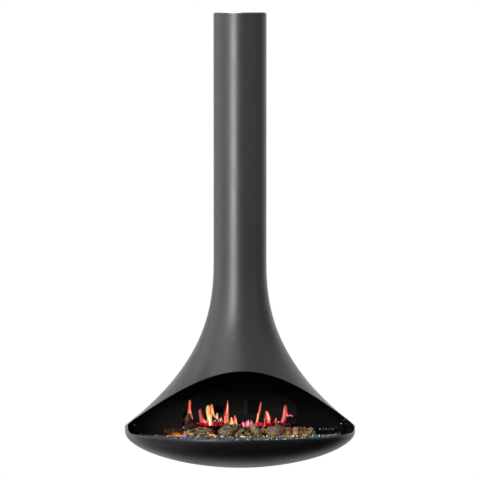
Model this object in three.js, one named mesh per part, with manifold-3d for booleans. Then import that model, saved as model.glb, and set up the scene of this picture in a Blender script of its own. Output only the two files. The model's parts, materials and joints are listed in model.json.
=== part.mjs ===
// A suspended electric fireplace: a flared steel hood on a ceiling tube over a shallow steel bowl.
// An arched opening in the hood shows a lined firebox with a mirror glass, a flame effect,
// driftwood, stones and crushed glass, and a strip of four push buttons.
// Millimetres, +Z up, origin at the centre of the ceiling face. The opening faces -Y.

import * as THREE from 'three';
import { mergeVertices } from 'three/addons/utils/BufferGeometryUtils.js';
import Module from 'manifold-3d';

const wasm = await Module();
wasm.setup();

// ------------------------------------------------------------------ driving dimensions

// Outer shell
const TUBE_RADIUS = 100;
const SHELL_WALL = 2.5;
const CEILING_GAP = 3;
const FLARE_TOP_DEPTH = 932;
const FLARE_HEIGHT = 630;
const FLARE_POWER = 2.44;
const NECK_HEIGHT = 52;
const RIM_RADIUS = 435;
const BAND_HEIGHT = 29;
const BOWL_DEPTH = 127;
const BOWL_RADIAL_POWER = 1.8;
const BOWL_DROP_POWER = 0.61;

// Opening in the front
const OPENING_SIDE_ANGLE = 78.5;
const ARCH_RISE = 222;
const ARCH_SPRING = 6.6;
const ARCH_ROUNDNESS = 0.774;
const SILL_DROP = 21;
const SILL_CORNER = 15;

// Firebox lining
const LINING_SETBACK = 155;
const LINING_SHEET = 2;
const LINTEL_SHEET = 1.5;
const LINING_EDGE_GAP = 1.5;
const WINDOW_WIDTH = 436;
const WINDOW_OFFSET = 6;
const LINTEL_DROP = 81;
const PANE_OVERLAP = 12;
const GLASS_THICKNESS = 4;
const DIFFUSER_THICKNESS = 3;

// Bed
const BED_DROP = 44;
const BED_THICKNESS = 25;
const TRAY_DEPTH = 28;
const TRAY_SHEET = 1.5;
const TRAY_BOWL_GAP = 4;
const BED_FRONT_MARGIN = 6;
const GLASS_BED_HEIGHT = 7.2;
const GLASS_LUMP_DEPTH = 4.4;
const GLASS_LUMP_STEPS = 7;
const GLASS_BACK_Y = -34;
const GLASS_BACK_RISE = 120;
const STAND_RADIUS = 200;
const STAND_FLANGE = 12;

// Wood and stones
const BED_UNIT = 10;
const STUB_LEAN = 0.12;
const BRANCH_SLOPE = 0.38;
const LOG_SWELL = 1.08;
const STONE_DIP = 0.09;
const STONE_FOOT = 0.82;
const FINE_STONE = 2 * BED_UNIT;

// Flame effect
const HOUSING_DEPTH = 55;
const HOUSING_SHEET = 1.2;
const MASK_SHEET = 1;
const MASK_STANDOFF = 3.5;
const FLAME_FOOT_RISE = 26;
const SPINDLE_END_ROOM = 13;
const SPINDLE_LENGTH = WINDOW_WIDTH - 2 * SPINDLE_END_ROOM;
const SPINDLE_SHAFT_RADIUS = 3;
const SPINDLE_BLADE_RADIUS = 17;
const SPINDLE_BLADES = 9;
const SPINDLE_BLADE_STEP = 50;
const SPINDLE_HEIGHT = 46;
const SPINDLE_BEHIND_MASK = 25;
const BRACKET_SHEET = 1.5;
const MOTOR_RADIUS = 18;
const MOTOR_LENGTH = 14;
const LED_STRIP_WIDTH = 12;
const LED_END_ROOM = 28;
const LED_STRIP_LENGTH = WINDOW_WIDTH - 2 * LED_END_ROOM;
const LED_COUNT = 8;
const BOARD_THICKNESS = 1.6;

// Controls
const CONTROL_LENGTH = 73;
const CONTROL_HEIGHT = 18;
const CONTROL_THICKNESS = 3;
const CONTROL_SHELL_GAP = 22.4;
const CONTROL_BELOW_RIM = 27;
const BUTTON_RADIUS = 4.4;
const BUTTON_PITCH = 12.4;
const BUTTON_COUNT = 4;
const BUTTON_FIRST_OFFSET = -16.9;
const BUTTON_PROUD = 1.4;
const BUTTON_THICKNESS = 2.6;
const BUTTON_STEM_RADIUS = 1.7;
const BUTTON_TRAVEL = 0.8;
const LAMP_RADIUS = 1.8;
const LAMP_OFFSET = -28.3;

// Suspension
const PLATE_RADIUS = 94;
const PLATE_THICKNESS = 8;
const HUB_RADIUS = 20;
const HUB_LENGTH = 58;
const PIPE_RADIUS = 38;
const PIPE_WALL = 3;
const PIPE_BELOW_FLARE_TOP = 245.4;
const COLLAR_THICKNESS = 10;
const BEARING_THICKNESS = 10;
const RETAINER_THICKNESS = 10;
const STOP_PIN_RADIUS = 3;
const STOP_PIN_OFFSET = 30;
const STOP_LUG_WIDTH = 4;
const STOP_LUG_HEIGHT = 8;
const ANCHOR_CIRCLE = 76;
const ANCHOR_SLOT_WIDTH = 9;
const ANCHOR_SLOT_LENGTH = 24;
const GROMMET_OFFSET = 58;
const GROMMET_RADIUS = 10;
const CABLE_RADIUS = 4;
const CENTERING_THICKNESS = 4;
const CENTERING_TOP_DEPTH = 130;
const CENTERING_NECK_GAP = 80;
const COUPLER_HEIGHT = 60;
const HANGER_PLATE_THICKNESS = 5;
const RIB_WIDTH = 24;
const RIB_THICKNESS = 4;
const RIB_SHELL_GAP = 6;
const RIB_ANGLE = 25;
const RING_WIDTH = 30;
const RING_FLANGE = 3;
const RING_DROP = 24;
const CHASSIS_SHEET = 2;

// Clearances and facets
const TOUCH = 0.3;
const RUNNING = 0.5;
const SCREW_HEAD_RADIUS = 3.2;
const SCREW_SHANK_RADIUS = 1.6;
const SCREW_BELOW_RIM = 7.5;
const SCREW_EDGE_INSET = 4.6;
const SHELL_SEGMENTS = 48;
const INNER_SEGMENTS = 24;
const ROUND_SEGMENTS = 18;
const HOLE_SEGMENTS = 12;
const SMALL_SEGMENTS = 10;
const FLARE_ROWS = 11;
const BOWL_ROWS = 8;
const ARCH_STEPS = 20;
const OUTLINE_STEPS = 10;
const LOG_ROWS = 8;
const SLAB_ROWS = 3;
const GLASS_COLUMNS = 34;
const GLASS_ROWS = 7;

// ------------------------------------------------------------------ derived levels

const RIM_Z = -(FLARE_TOP_DEPTH + FLARE_HEIGHT);
const FLARE_TOP_Z = -FLARE_TOP_DEPTH;
const NECK_TOP_Z = FLARE_TOP_Z + NECK_HEIGHT;
const BAND_FOOT_Z = RIM_Z - BAND_HEIGHT;
const ARCH_APEX_Z = RIM_Z + ARCH_RISE;
const SILL_Z = RIM_Z - SILL_DROP;
const BED_Z = RIM_Z - BED_DROP;
const OPENING_HALF = RIM_RADIUS * Math.sin(THREE.MathUtils.degToRad(OPENING_SIDE_ANGLE));
const FACET = Math.cos(Math.PI / SHELL_SEGMENTS);
const CHASSIS_Z = BED_Z - BED_THICKNESS - TRAY_SHEET - TOUCH - CHASSIS_SHEET;
const LINING_FOOT_Z = CHASSIS_Z + CHASSIS_SHEET + TOUCH;
const LINTEL_Y = LINING_SETBACK + LINING_SHEET + TOUCH;
const GLASS_Y = LINTEL_Y + LINTEL_SHEET + TOUCH;
const DIFFUSER_Y = GLASS_Y + GLASS_THICKNESS + TOUCH;
const HOUSING_Y = DIFFUSER_Y + DIFFUSER_THICKNESS + TOUCH;
const MASK_Y = HOUSING_Y + MASK_STANDOFF;
const SPINDLE_Y = MASK_Y + SPINDLE_BEHIND_MASK;
const SPINDLE_Z = LINING_FOOT_Z + SPINDLE_HEIGHT;

// ------------------------------------------------------------------ finishes

/** A standard material from its colour, roughness and metalness. */
function finish(color, roughness, metalness) {
  return new THREE.MeshStandardMaterial({ color, roughness, metalness });
}

const shellPaint = () => finish(0x3a3a3a, 0.45, 0.3);
const liningPaint = () => finish(0x161616, 0.7, 0.2);
const lintelPaint = () => finish(0x040404, 0.9, 0);
const galvanised = () => finish(0x9a9da0, 0.45, 0.9);
const blackSteel = () => finish(0x222222, 0.6, 0.5);
const rubber = () => finish(0x151515, 0.9, 0);
const mirror = () => finish(0x1c1c1a, 0.05, 0.6);
const frosted = () => finish(0xd8d4cc, 0.6, 0);
const foil = () => finish(0xc9ccd0, 0.2, 1);
const circuit = () => finish(0x1d4a2c, 0.6, 0.1);
const emberResin = () => finish(0xd06a20, 0.5, 0);
const crushedGlass = () => finish(0x7fb0b8, 0.1, 0);
const bark = () => finish(0x4a3026, 0.9, 0);
const paleWood = () => finish(0x9a8560, 0.85, 0);
const stone = () => finish(0x8a7d68, 0.95, 0);
const pumice = () => finish(0x77706a, 0.95, 0);
const glossBlack = () => finish(0x080808, 0.15, 0);
const buttonGrey = () => finish(0xb8bcbc, 0.4, 0);
const lampGreen = () => finish(0x39d060, 0.3, 0);
const steel = () => finish(0xb0b2b4, 0.3, 1);

// ------------------------------------------------------------------ solids

/** Welds a geometry, drops collapsed triangles and returns a solid with its faces out. */
function solidFrom(geometry) {
  const bare = geometry.clone();
  for (const name of Object.keys(bare.attributes)) {
    if (name !== 'position') bare.deleteAttribute(name);
  }
  const welded = mergeVertices(bare, 1e-3);
  const corners = welded.index.array;
  const points = welded.attributes.position;
  const kept = [];
  const a = new THREE.Vector3();
  const b = new THREE.Vector3();
  const c = new THREE.Vector3();
  let volume = 0;
  for (let i = 0; i < corners.length; i += 3) {
    const [p, q, r] = [corners[i], corners[i + 1], corners[i + 2]];
    if (p === q || q === r || r === p) continue;
    kept.push(p, q, r);
    a.fromBufferAttribute(points, p);
    b.fromBufferAttribute(points, q);
    c.fromBufferAttribute(points, r);
    volume += a.dot(b.cross(c));
  }
  if (volume < 0) kept.reverse();
  const mesh = new wasm.Mesh({
    numProp: 3,
    vertProperties: Float32Array.from(points.array),
    triVerts: Uint32Array.from(kept),
  });
  return new wasm.Manifold(mesh);
}

/** Turns a solid back into a three.js geometry. */
function geometryFrom(solid) {
  const mesh = solid.getMesh();
  const geometry = new THREE.BufferGeometry();
  geometry.setAttribute('position', new THREE.BufferAttribute(Float32Array.from(mesh.vertProperties), 3));
  geometry.setIndex(new THREE.BufferAttribute(Uint32Array.from(mesh.triVerts), 1));
  return geometry;
}

/** The geometry with every tool geometry cut out of it. */
function cut(geometry, ...tools) {
  return geometryFrom(tools.reduce((body, tool) => body.subtract(solidFrom(tool)), solidFrom(geometry)));
}

/** The geometry joined with the others into one body. */
function fuse(geometry, ...others) {
  return geometryFrom(others.reduce((body, other) => body.add(solidFrom(other)), solidFrom(geometry)));
}

/** What two geometries have in common. */
function common(geometry, other) {
  return geometryFrom(solidFrom(geometry).intersect(solidFrom(other)));
}

/** Revolves a closed or axis-to-axis profile of [radius, z] points about Z. */
function revolve(profile, segments = SHELL_SEGMENTS) {
  const points = profile.map(([radius, z]) => new THREE.Vector2(radius, z));
  return geometryFrom(solidFrom(new THREE.LatheGeometry(points, segments).rotateX(Math.PI / 2)));
}

/** A ring of rectangular section between two radii and two heights. */
function ring(inner, outer, low, high, segments = SHELL_SEGMENTS) {
  return revolve([[inner, low], [outer, low], [outer, high], [inner, high], [inner, low]], segments);
}

/** A round disc or rod about Z between two heights. */
function disc(radius, low, high, segments = SHELL_SEGMENTS) {
  return revolve([[0, low], [radius, low], [radius, high], [0, high]], segments);
}

/** A rod along X between two stations. */
function rodX(radius, from, to, segments = ROUND_SEGMENTS) {
  return disc(radius, from, to, segments).rotateY(Math.PI / 2);
}

/** A rod along Y between two stations. */
function rodY(radius, from, to, segments = ROUND_SEGMENTS) {
  return disc(radius, from, to, segments).rotateX(-Math.PI / 2);
}

/** An axis-aligned block from its lowest and highest corner. */
function block(low, high) {
  const size = high.map((value, axis) => value - low[axis]);
  const middle = high.map((value, axis) => (value + low[axis]) / 2);
  return new THREE.BoxGeometry(...size).translate(...middle);
}

/** A sheet that stands in the XZ plane: a closed outline of [x, z] points from front to back in Y. */
function standingSheet(outline, front, thickness, holes = []) {
  const shape = new THREE.Shape(outline.map(([x, z]) => new THREE.Vector2(x, z)));
  shape.holes = holes.map((hole) => new THREE.Path(hole.map(([x, z]) => new THREE.Vector2(x, z))));
  const extruded = new THREE.ExtrudeGeometry(shape, { depth: thickness, bevelEnabled: false });
  return extruded.rotateX(Math.PI / 2).translate(0, front + thickness, 0);
}

/** Evenly spaced numbers from one value to another, both included. */
function spread(from, to, steps) {
  return Array.from({ length: steps + 1 }, (_, i) => from + ((to - from) * i) / steps);
}

/** Points of an arc in the XZ plane, angles in degrees. */
function arc(x, z, radius, from, to, steps = SMALL_SEGMENTS / 2) {
  return spread(from, to, steps).map((angle) => {
    const turn = THREE.MathUtils.degToRad(angle);
    return [x + radius * Math.cos(turn), z + radius * Math.sin(turn)];
  });
}

// ------------------------------------------------------------------ shell curves

/** How far down the flare a height lies, 0 at its top and 1 at the rim. */
function flareShare(z) {
  return THREE.MathUtils.clamp((FLARE_TOP_Z - z) / FLARE_HEIGHT, 0, 1);
}

/** Outer radius of the hood at a height. */
function flareRadius(z) {
  return TUBE_RADIUS + (RIM_RADIUS - TUBE_RADIUS) * flareShare(z) ** FLARE_POWER;
}

/** Inner radius of the hood, one wall inside the outer surface along its normal. */
function flareInnerRadius(z) {
  const growth = (RIM_RADIUS - TUBE_RADIUS) / FLARE_HEIGHT;
  const slope = growth * FLARE_POWER * flareShare(z) ** (FLARE_POWER - 1);
  return flareRadius(z) - SHELL_WALL * Math.hypot(1, slope);
}

/** A point [radius, z] of the bowl's curve, from 0 at the middle to 1 at the band. */
function bowlPoint(share, inset = 0) {
  const turn = (share * Math.PI) / 2;
  const radius = (RIM_RADIUS - inset) * Math.sin(turn) ** (2 / BOWL_RADIAL_POWER);
  const drop = (BOWL_DEPTH - inset) * Math.cos(turn) ** (2 * BOWL_DROP_POWER);
  return [radius, BAND_FOOT_Z - drop];
}

/** Inner radius of the bowl at a height below the band. */
function bowlInnerRadius(z) {
  const drop = THREE.MathUtils.clamp((BAND_FOOT_Z - z) / (BOWL_DEPTH - SHELL_WALL), 0, 1);
  return (RIM_RADIUS - SHELL_WALL) * (1 - drop ** (1 / BOWL_DROP_POWER)) ** (1 / BOWL_RADIAL_POWER);
}

/** Inner height of the bowl at a radius. */
function bowlInnerZ(radius) {
  const share = 1 - (radius / (RIM_RADIUS - SHELL_WALL)) ** BOWL_RADIAL_POWER;
  return BAND_FOOT_Z - (BOWL_DEPTH - SHELL_WALL) * share ** BOWL_DROP_POWER;
}

/** Inner radius of hood, band or bowl at a height, on the flat of a facet. */
function shellInnerRadius(z) {
  if (z >= RIM_Z) return flareInnerRadius(z) * FACET;
  if (z >= BAND_FOOT_Z) return (RIM_RADIUS - SHELL_WALL) * FACET;
  return bowlInnerRadius(z) * FACET;
}

/** Half the width between the shell's walls at a height and a depth behind the axis. */
function chordHalf(z, y) {
  const radius = shellInnerRadius(z) - LINING_EDGE_GAP;
  return Math.sqrt(Math.max(radius * radius - y * y, 0));
}

/** The height in the flare where the chord has a given half-width. */
function chordTop(halfWidth, y) {
  let low = RIM_Z;
  let high = FLARE_TOP_Z;
  for (let i = 0; i < 40; i += 1) {
    const middle = (low + high) / 2;
    if (chordHalf(middle, y) > halfWidth) low = middle;
    else high = middle;
  }
  return low;
}

/** Height of the opening's arch at a station, moved down by a drop: a hyperbola from apex to springing. */
function archZ(x, drop = 0) {
  const fall = (share) => Math.hypot(ARCH_ROUNDNESS, share) - ARCH_ROUNDNESS;
  return ARCH_APEX_Z - drop - ((ARCH_RISE - ARCH_SPRING) * fall(x / OPENING_HALF)) / fall(1);
}

/** The outline under an arch, standing on a foot. */
function archOutline(left, right, foot, drop) {
  const top = spread(right, left, ARCH_STEPS).map((x) => [x, archZ(x, drop)]);
  return [[left, foot], [right, foot], ...top];
}

// ------------------------------------------------------------------ scene graph

const model = new THREE.Group();
const ceilingMount = new THREE.Group();
const fireplace = new THREE.Group();
model.add(ceilingMount, fireplace);

/** Adds a named piece to a group, moved to its place. */
function place(group, name, geometry, material, position = [0, 0, 0]) {
  const mesh = new THREE.Mesh(geometry, material);
  mesh.name = name;
  mesh.position.set(...position);
  group.add(mesh);
  return mesh;
}

// ------------------------------------------------------------------ ceiling mount and swivel

const HUB_FOOT_Z = -PLATE_THICKNESS - HUB_LENGTH;
const PIPE_TOP_Z = HUB_FOOT_Z + TOUCH + BEARING_THICKNESS + TOUCH + COLLAR_THICKNESS;
const PIPE_FOOT_Z = FLARE_TOP_Z - PIPE_BELOW_FLARE_TOP;
const PIPE_BORE = PIPE_RADIUS - PIPE_WALL;

/** The plate that is bolted to the ceiling, with its hub, anchor slots and stop pin. */
function ceilingPlate() {
  const body = revolve([
    [0, HUB_FOOT_Z],
    [HUB_RADIUS, HUB_FOOT_Z],
    [HUB_RADIUS, -PLATE_THICKNESS],
    [PLATE_RADIUS, -PLATE_THICKNESS],
    [PLATE_RADIUS, 0],
    [0, 0],
  ], INNER_SEGMENTS);
  const pinFoot = PIPE_TOP_Z + STOP_LUG_HEIGHT / 2;
  const pin = disc(STOP_PIN_RADIUS, pinFoot, -PLATE_THICKNESS / 2, SMALL_SEGMENTS);
  const slots = [0, 90, 180, 270].map((angle) => {
    const slot = new THREE.BoxGeometry(ANCHOR_SLOT_WIDTH, ANCHOR_SLOT_LENGTH, 3 * PLATE_THICKNESS);
    return slot.translate(ANCHOR_CIRCLE, 0, 0).rotateZ(THREE.MathUtils.degToRad(angle + 45));
  });
  const cable = disc(GROMMET_RADIUS, -2 * PLATE_THICKNESS, PLATE_THICKNESS, ROUND_SEGMENTS);
  const withPin = fuse(body, pin.translate(0, STOP_PIN_OFFSET, 0));
  return cut(withPin, cable.translate(0, GROMMET_OFFSET, 0), ...slots);
}

/** The rubber bush in the plate, flanged below it, that the supply cable passes through. */
function cableGrommet() {
  const barrel = GROMMET_RADIUS - TOUCH;
  const flange = GROMMET_RADIUS + 3;
  return revolve([
    [CABLE_RADIUS, -PLATE_THICKNESS - 3],
    [flange, -PLATE_THICKNESS - 3],
    [flange, -PLATE_THICKNESS - TOUCH],
    [barrel, -PLATE_THICKNESS - TOUCH],
    [barrel, -TOUCH],
    [CABLE_RADIUS, -TOUCH],
    [CABLE_RADIUS, -PLATE_THICKNESS - 3],
  ], ROUND_SEGMENTS);
}

/** The suspension pipe with its collar, which turns on the bearing, and a stop lug on the collar. */
function suspensionPipe() {
  const collarBore = HUB_RADIUS + RUNNING;
  const body = revolve([
    [collarBore, PIPE_TOP_Z - COLLAR_THICKNESS],
    [PIPE_BORE, PIPE_TOP_Z - COLLAR_THICKNESS],
    [PIPE_BORE, PIPE_FOOT_Z],
    [PIPE_RADIUS, PIPE_FOOT_Z],
    [PIPE_RADIUS, PIPE_TOP_Z],
    [collarBore, PIPE_TOP_Z],
    [collarBore, PIPE_TOP_Z - COLLAR_THICKNESS],
  ], INNER_SEGMENTS);
  const lug = block(
    [-STOP_LUG_WIDTH / 2, -PIPE_RADIUS + 1, PIPE_TOP_Z - 1],
    [STOP_LUG_WIDTH / 2, -STOP_PIN_OFFSET + STOP_PIN_RADIUS, PIPE_TOP_Z + STOP_LUG_HEIGHT],
  );
  return fuse(body, lug);
}

/** A ring that keeps the outer tube centred on the pipe, with three windows for air and cable. */
function centeringRing() {
  const outer = TUBE_RADIUS * FACET - SHELL_WALL - RUNNING;
  const half = CENTERING_THICKNESS / 2;
  const body = ring(PIPE_RADIUS + RUNNING, outer, -half, half, INNER_SEGMENTS);
  const middle = (PIPE_RADIUS + outer) / 2;
  const span = (outer - PIPE_RADIUS) / 2 - CENTERING_THICKNESS * 2;
  const windows = [90, 210, 330].map((angle) => {
    const oval = disc(span, -CENTERING_THICKNESS, CENTERING_THICKNESS, SMALL_SEGMENTS);
    return oval.scale(1, 2, 1).translate(middle, 0, 0).rotateZ(THREE.MathUtils.degToRad(angle));
  });
  return cut(body, ...windows);
}

const bearingTop = HUB_FOOT_Z + TOUCH + BEARING_THICKNESS;
const retainerRadius = PIPE_BORE - RUNNING * 2;
place(ceilingMount, 'ceiling_plate', ceilingPlate(), galvanised());
place(ceilingMount, 'cable_grommet', cableGrommet(), rubber(), [0, GROMMET_OFFSET, 0]);
place(
  ceilingMount,
  'thrust_bearing',
  ring(HUB_RADIUS + TOUCH, retainerRadius, HUB_FOOT_Z + TOUCH, bearingTop, INNER_SEGMENTS),
  steel(),
);
place(
  ceilingMount,
  'bearing_retainer',
  disc(retainerRadius, HUB_FOOT_Z - TOUCH - RETAINER_THICKNESS, HUB_FOOT_Z - TOUCH, INNER_SEGMENTS),
  galvanised(),
);
place(fireplace, 'suspension_pipe', suspensionPipe(), galvanised());
[-CENTERING_TOP_DEPTH, NECK_TOP_Z + CENTERING_NECK_GAP].forEach((z, i) => {
  place(fireplace, `centering_ring_${i + 1}`, centeringRing(), blackSteel(), [0, 0, z]);
});

// ------------------------------------------------------------------ outer shell

/** The straight tube from the ceiling to the hood's neck. */
function flueTube() {
  return ring(TUBE_RADIUS - SHELL_WALL, TUBE_RADIUS, NECK_TOP_Z + TOUCH, -CEILING_GAP);
}

/** The front opening as a solid that both hood and bowl are cut with. */
function openingTool() {
  const corner = SILL_CORNER;
  const left = arc(-OPENING_HALF + corner, SILL_Z + corner, corner, 180, 270);
  const right = arc(OPENING_HALF - corner, SILL_Z + corner, corner, 270, 360);
  const top = spread(OPENING_HALF, -OPENING_HALF, ARCH_STEPS).map((x) => [x, archZ(x)]);
  return standingSheet([...left, ...right, ...top], -2 * RIM_RADIUS, 2 * RIM_RADIUS);
}

/** The flared hood with its straight neck and its arched opening. */
function hoodShell() {
  const heights = spread(FLARE_TOP_Z, RIM_Z, FLARE_ROWS);
  const outer = heights.map((z) => [flareRadius(z), z]);
  const inner = heights.map((z) => [flareInnerRadius(z), z]).reverse();
  const neck = [[TUBE_RADIUS - SHELL_WALL, NECK_TOP_Z], [TUBE_RADIUS, NECK_TOP_Z]];
  return cut(revolve([...neck, ...outer, ...inner, neck[0]]), openingTool());
}

/** The bowl with its upright band, cut down to the sill in front. */
function bowlShell() {
  const shares = spread(1, 0, BOWL_ROWS);
  const top = RIM_Z - TOUCH;
  const outer = shares.map((share) => bowlPoint(share));
  const inner = shares.map((share) => bowlPoint(share, SHELL_WALL)).reverse();
  const band = [[RIM_RADIUS - SHELL_WALL, top], [RIM_RADIUS, top]];
  const closed = [...outer.slice(0, -1), [0, BAND_FOOT_Z - BOWL_DEPTH]];
  const back = [[0, BAND_FOOT_Z - BOWL_DEPTH + SHELL_WALL], ...inner.slice(1)];
  return cut(revolve([...closed.reverse(), ...band.reverse(), ...back.reverse()]), openingTool());
}

place(fireplace, 'flue_tube', flueTube(), shellPaint());
place(fireplace, 'hood_shell', hoodShell(), shellPaint());
place(fireplace, 'bowl_shell', bowlShell(), shellPaint());

// ------------------------------------------------------------------ inner frame

const HANGER_TOP_Z = PIPE_FOOT_Z - TOUCH;
const HANGER_FOOT_Z = HANGER_TOP_Z - HANGER_PLATE_THICKNESS;
const RING_TOP_Z = RIM_Z - SHELL_WALL;

/** The sleeve inside the joint between tube and hood. */
function neckCoupler() {
  const outer = TUBE_RADIUS * FACET - SHELL_WALL - TOUCH;
  const half = COUPLER_HEIGHT / 2;
  return ring(outer - PIPE_WALL, outer, NECK_TOP_Z - half, NECK_TOP_Z + half, INNER_SEGMENTS);
}

/** The plate under the pipe that carries hood and ribs, with a cable hole in its middle. */
function hangerPlate() {
  const outer = shellInnerRadius(HANGER_TOP_Z) - RUNNING;
  return ring(PIPE_BORE / 2, outer, HANGER_FOOT_Z, HANGER_TOP_Z, INNER_SEGMENTS);
}

/** A rib that follows the hood's inner curve from the hanger plate down to the rim ring. */
function hangerRib() {
  const outerEdge = (z) => shellInnerRadius(z) - RIB_SHELL_GAP;
  const heights = spread(HANGER_FOOT_Z - TOUCH, RING_TOP_Z + TOUCH, OUTLINE_STEPS);
  const outer = heights.map((z) => [Math.min(outerEdge(z), outerEdge(RIM_Z)), z]);
  const inner = outer.map(([radius, z]) => [radius - RIB_WIDTH, z]).reverse();
  return standingSheet([...outer, ...inner], -RIB_THICKNESS / 2, RIB_THICKNESS);
}

/** The angle ring behind the lining that joins hood, bowl and chassis. */
function rimRing() {
  const outer = (RIM_RADIUS - SHELL_WALL) * FACET - RUNNING;
  const section = [
    [outer - RING_FLANGE, RING_TOP_Z - RING_DROP],
    [outer, RING_TOP_Z - RING_DROP],
    [outer, RING_TOP_Z],
    [outer - RING_WIDTH, RING_TOP_Z],
    [outer - RING_WIDTH, RING_TOP_Z - RING_FLANGE],
    [outer - RING_FLANGE, RING_TOP_Z - RING_FLANGE],
    [outer - RING_FLANGE, RING_TOP_Z - RING_DROP],
  ];
  const rear = block(
    [-RIM_RADIUS, HOUSING_Y, RING_TOP_Z - 2 * RING_DROP],
    [RIM_RADIUS, RIM_RADIUS, RIM_Z + RING_DROP],
  );
  return common(revolve(section), rear);
}

/** The chassis plate behind the lining, following the bowl. */
function chassisPlate() {
  const radius = (bowlInnerRadius(CHASSIS_Z) - TRAY_BOWL_GAP) * FACET;
  const rear = block(
    [-RIM_RADIUS, LINING_SETBACK - TRAY_SHEET, CHASSIS_Z - CHASSIS_SHEET],
    [RIM_RADIUS, RIM_RADIUS, CHASSIS_Z + 2 * CHASSIS_SHEET],
  );
  return common(disc(radius, CHASSIS_Z, CHASSIS_Z + CHASSIS_SHEET), rear);
}

place(fireplace, 'neck_coupler', neckCoupler(), galvanised());
place(fireplace, 'hanger_plate', hangerPlate(), galvanised());
place(fireplace, 'rim_ring', rimRing(), blackSteel());
place(fireplace, 'chassis_plate', chassisPlate(), galvanised());
for (const [side, name] of [[-1, 'left'], [1, 'right']]) {
  const rib = place(fireplace, `hanger_rib_${name}`, hangerRib(), galvanised());
  rib.rotation.z = THREE.MathUtils.degToRad(90 - side * RIB_ANGLE);
}

// ------------------------------------------------------------------ firebox lining

const WINDOW_LEFT = WINDOW_OFFSET - WINDOW_WIDTH / 2;
const WINDOW_RIGHT = WINDOW_OFFSET + WINDOW_WIDTH / 2;
const CONTROL_Z = RIM_Z - CONTROL_BELOW_RIM;
const SCREW_Z = RIM_Z - SCREW_BELOW_RIM;
const LINING_BACK = LINING_SETBACK + LINING_SHEET;
const SCREW_X = chordHalf(SCREW_Z, LINING_BACK) - SCREW_EDGE_INSET;
const BUTTON_HOLE_RADIUS = BUTTON_STEM_RADIUS + RUNNING;

/** One side panel of the lining: straight at the window, following the shell elsewhere. */
function sidePanel(windowEdge) {
  const side = Math.sign(windowEdge);
  const top = chordTop(Math.abs(windowEdge) + LINING_EDGE_GAP * 2, LINING_BACK);
  const heights = [
    ...spread(LINING_FOOT_Z, BAND_FOOT_Z, OUTLINE_STEPS / 2),
    ...spread(RIM_Z, top, OUTLINE_STEPS),
  ];
  const shellSide = heights.map((z) => [side * chordHalf(z, LINING_BACK), z]);
  const outline = [[windowEdge, LINING_FOOT_Z], ...shellSide, [windowEdge, top]];
  const screwHole = rodY(SCREW_SHANK_RADIUS + TOUCH, -LINING_SHEET, 2 * LINING_SHEET, SMALL_SEGMENTS);
  return cut(
    standingSheet(outline, LINING_SETBACK, LINING_SHEET),
    screwHole.translate(side * SCREW_X, LINING_SETBACK, SCREW_Z),
  );
}

const CONTROL_CENTRE_X = chordHalf(CONTROL_Z, LINING_BACK) - CONTROL_SHELL_GAP - CONTROL_LENGTH / 2;
const FIRST_BUTTON_X = CONTROL_CENTRE_X + BUTTON_FIRST_OFFSET;
const LAMP_X = CONTROL_CENTRE_X + LAMP_OFFSET;

/** The stations of the four buttons along X. */
const buttonStations = Array.from({ length: BUTTON_COUNT }, (_, i) => FIRST_BUTTON_X + i * BUTTON_PITCH);

/** The right side panel, with the holes that the button stems pass through. */
function controlSidePanel() {
  const holes = buttonStations.map((x) => (
    rodY(BUTTON_HOLE_RADIUS, -LINING_SHEET, 2 * LINING_SHEET, SMALL_SEGMENTS)
      .translate(x, LINING_SETBACK, CONTROL_Z)
  ));
  return cut(sidePanel(WINDOW_RIGHT), ...holes);
}

/** The black lintel behind the side panels, with the arch that frames the glass. */
function lintelPanel() {
  const y = LINTEL_Y + LINTEL_SHEET;
  const left = WINDOW_LEFT - PANE_OVERLAP;
  const right = WINDOW_RIGHT + PANE_OVERLAP;
  const crown = ARCH_APEX_Z - LINING_EDGE_GAP * 3;
  const arch = spread(left, right, ARCH_STEPS).map((x) => [x, archZ(x, LINTEL_DROP)]);
  const rightSide = spread(chordTop(right, y), crown, OUTLINE_STEPS / 2).map((z) => [chordHalf(z, y), z]);
  const leftSide = spread(crown, chordTop(-left, y), OUTLINE_STEPS / 2).map((z) => [-chordHalf(z, y), z]);
  return standingSheet([...arch, ...rightSide, ...leftSide], LINTEL_Y, LINTEL_SHEET);
}

/** The arched outline of a layer behind the lintel, inset from the window pane. */
function paneOutline(inset) {
  const left = WINDOW_LEFT - PANE_OVERLAP + inset;
  const right = WINDOW_RIGHT + PANE_OVERLAP - inset;
  return archOutline(left, right, LINING_FOOT_Z + inset, LINTEL_DROP - PANE_OVERLAP + inset);
}

/** A pan-head screw that points into a side panel. */
function fasciaScrew() {
  const shank = LINING_SHEET * 3;
  const head = LINING_SHEET * 0.8;
  return revolve([
    [0, -shank],
    [SCREW_SHANK_RADIUS, -shank],
    [SCREW_SHANK_RADIUS, TOUCH],
    [SCREW_HEAD_RADIUS, TOUCH],
    [SCREW_HEAD_RADIUS, TOUCH + head / 2],
    [SCREW_HEAD_RADIUS / 2, TOUCH + head],
    [0, TOUCH + head],
  ], SMALL_SEGMENTS).rotateX(Math.PI / 2);
}

place(fireplace, 'side_panel_left', sidePanel(WINDOW_LEFT), liningPaint());
place(fireplace, 'side_panel_right', controlSidePanel(), liningPaint());
place(fireplace, 'lintel_panel', lintelPanel(), lintelPaint());
place(fireplace, 'mirror_glass', standingSheet(paneOutline(0), GLASS_Y, GLASS_THICKNESS), mirror());
place(
  fireplace,
  'flame_diffuser',
  standingSheet(paneOutline(DIFFUSER_THICKNESS), DIFFUSER_Y, DIFFUSER_THICKNESS),
  frosted(),
);
place(fireplace, 'fascia_screw_left', fasciaScrew(), steel(), [-SCREW_X, LINING_SETBACK, SCREW_Z]);
place(fireplace, 'fascia_screw_right', fasciaScrew(), steel(), [SCREW_X, LINING_SETBACK, SCREW_Z]);

// ------------------------------------------------------------------ flame effect

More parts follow.
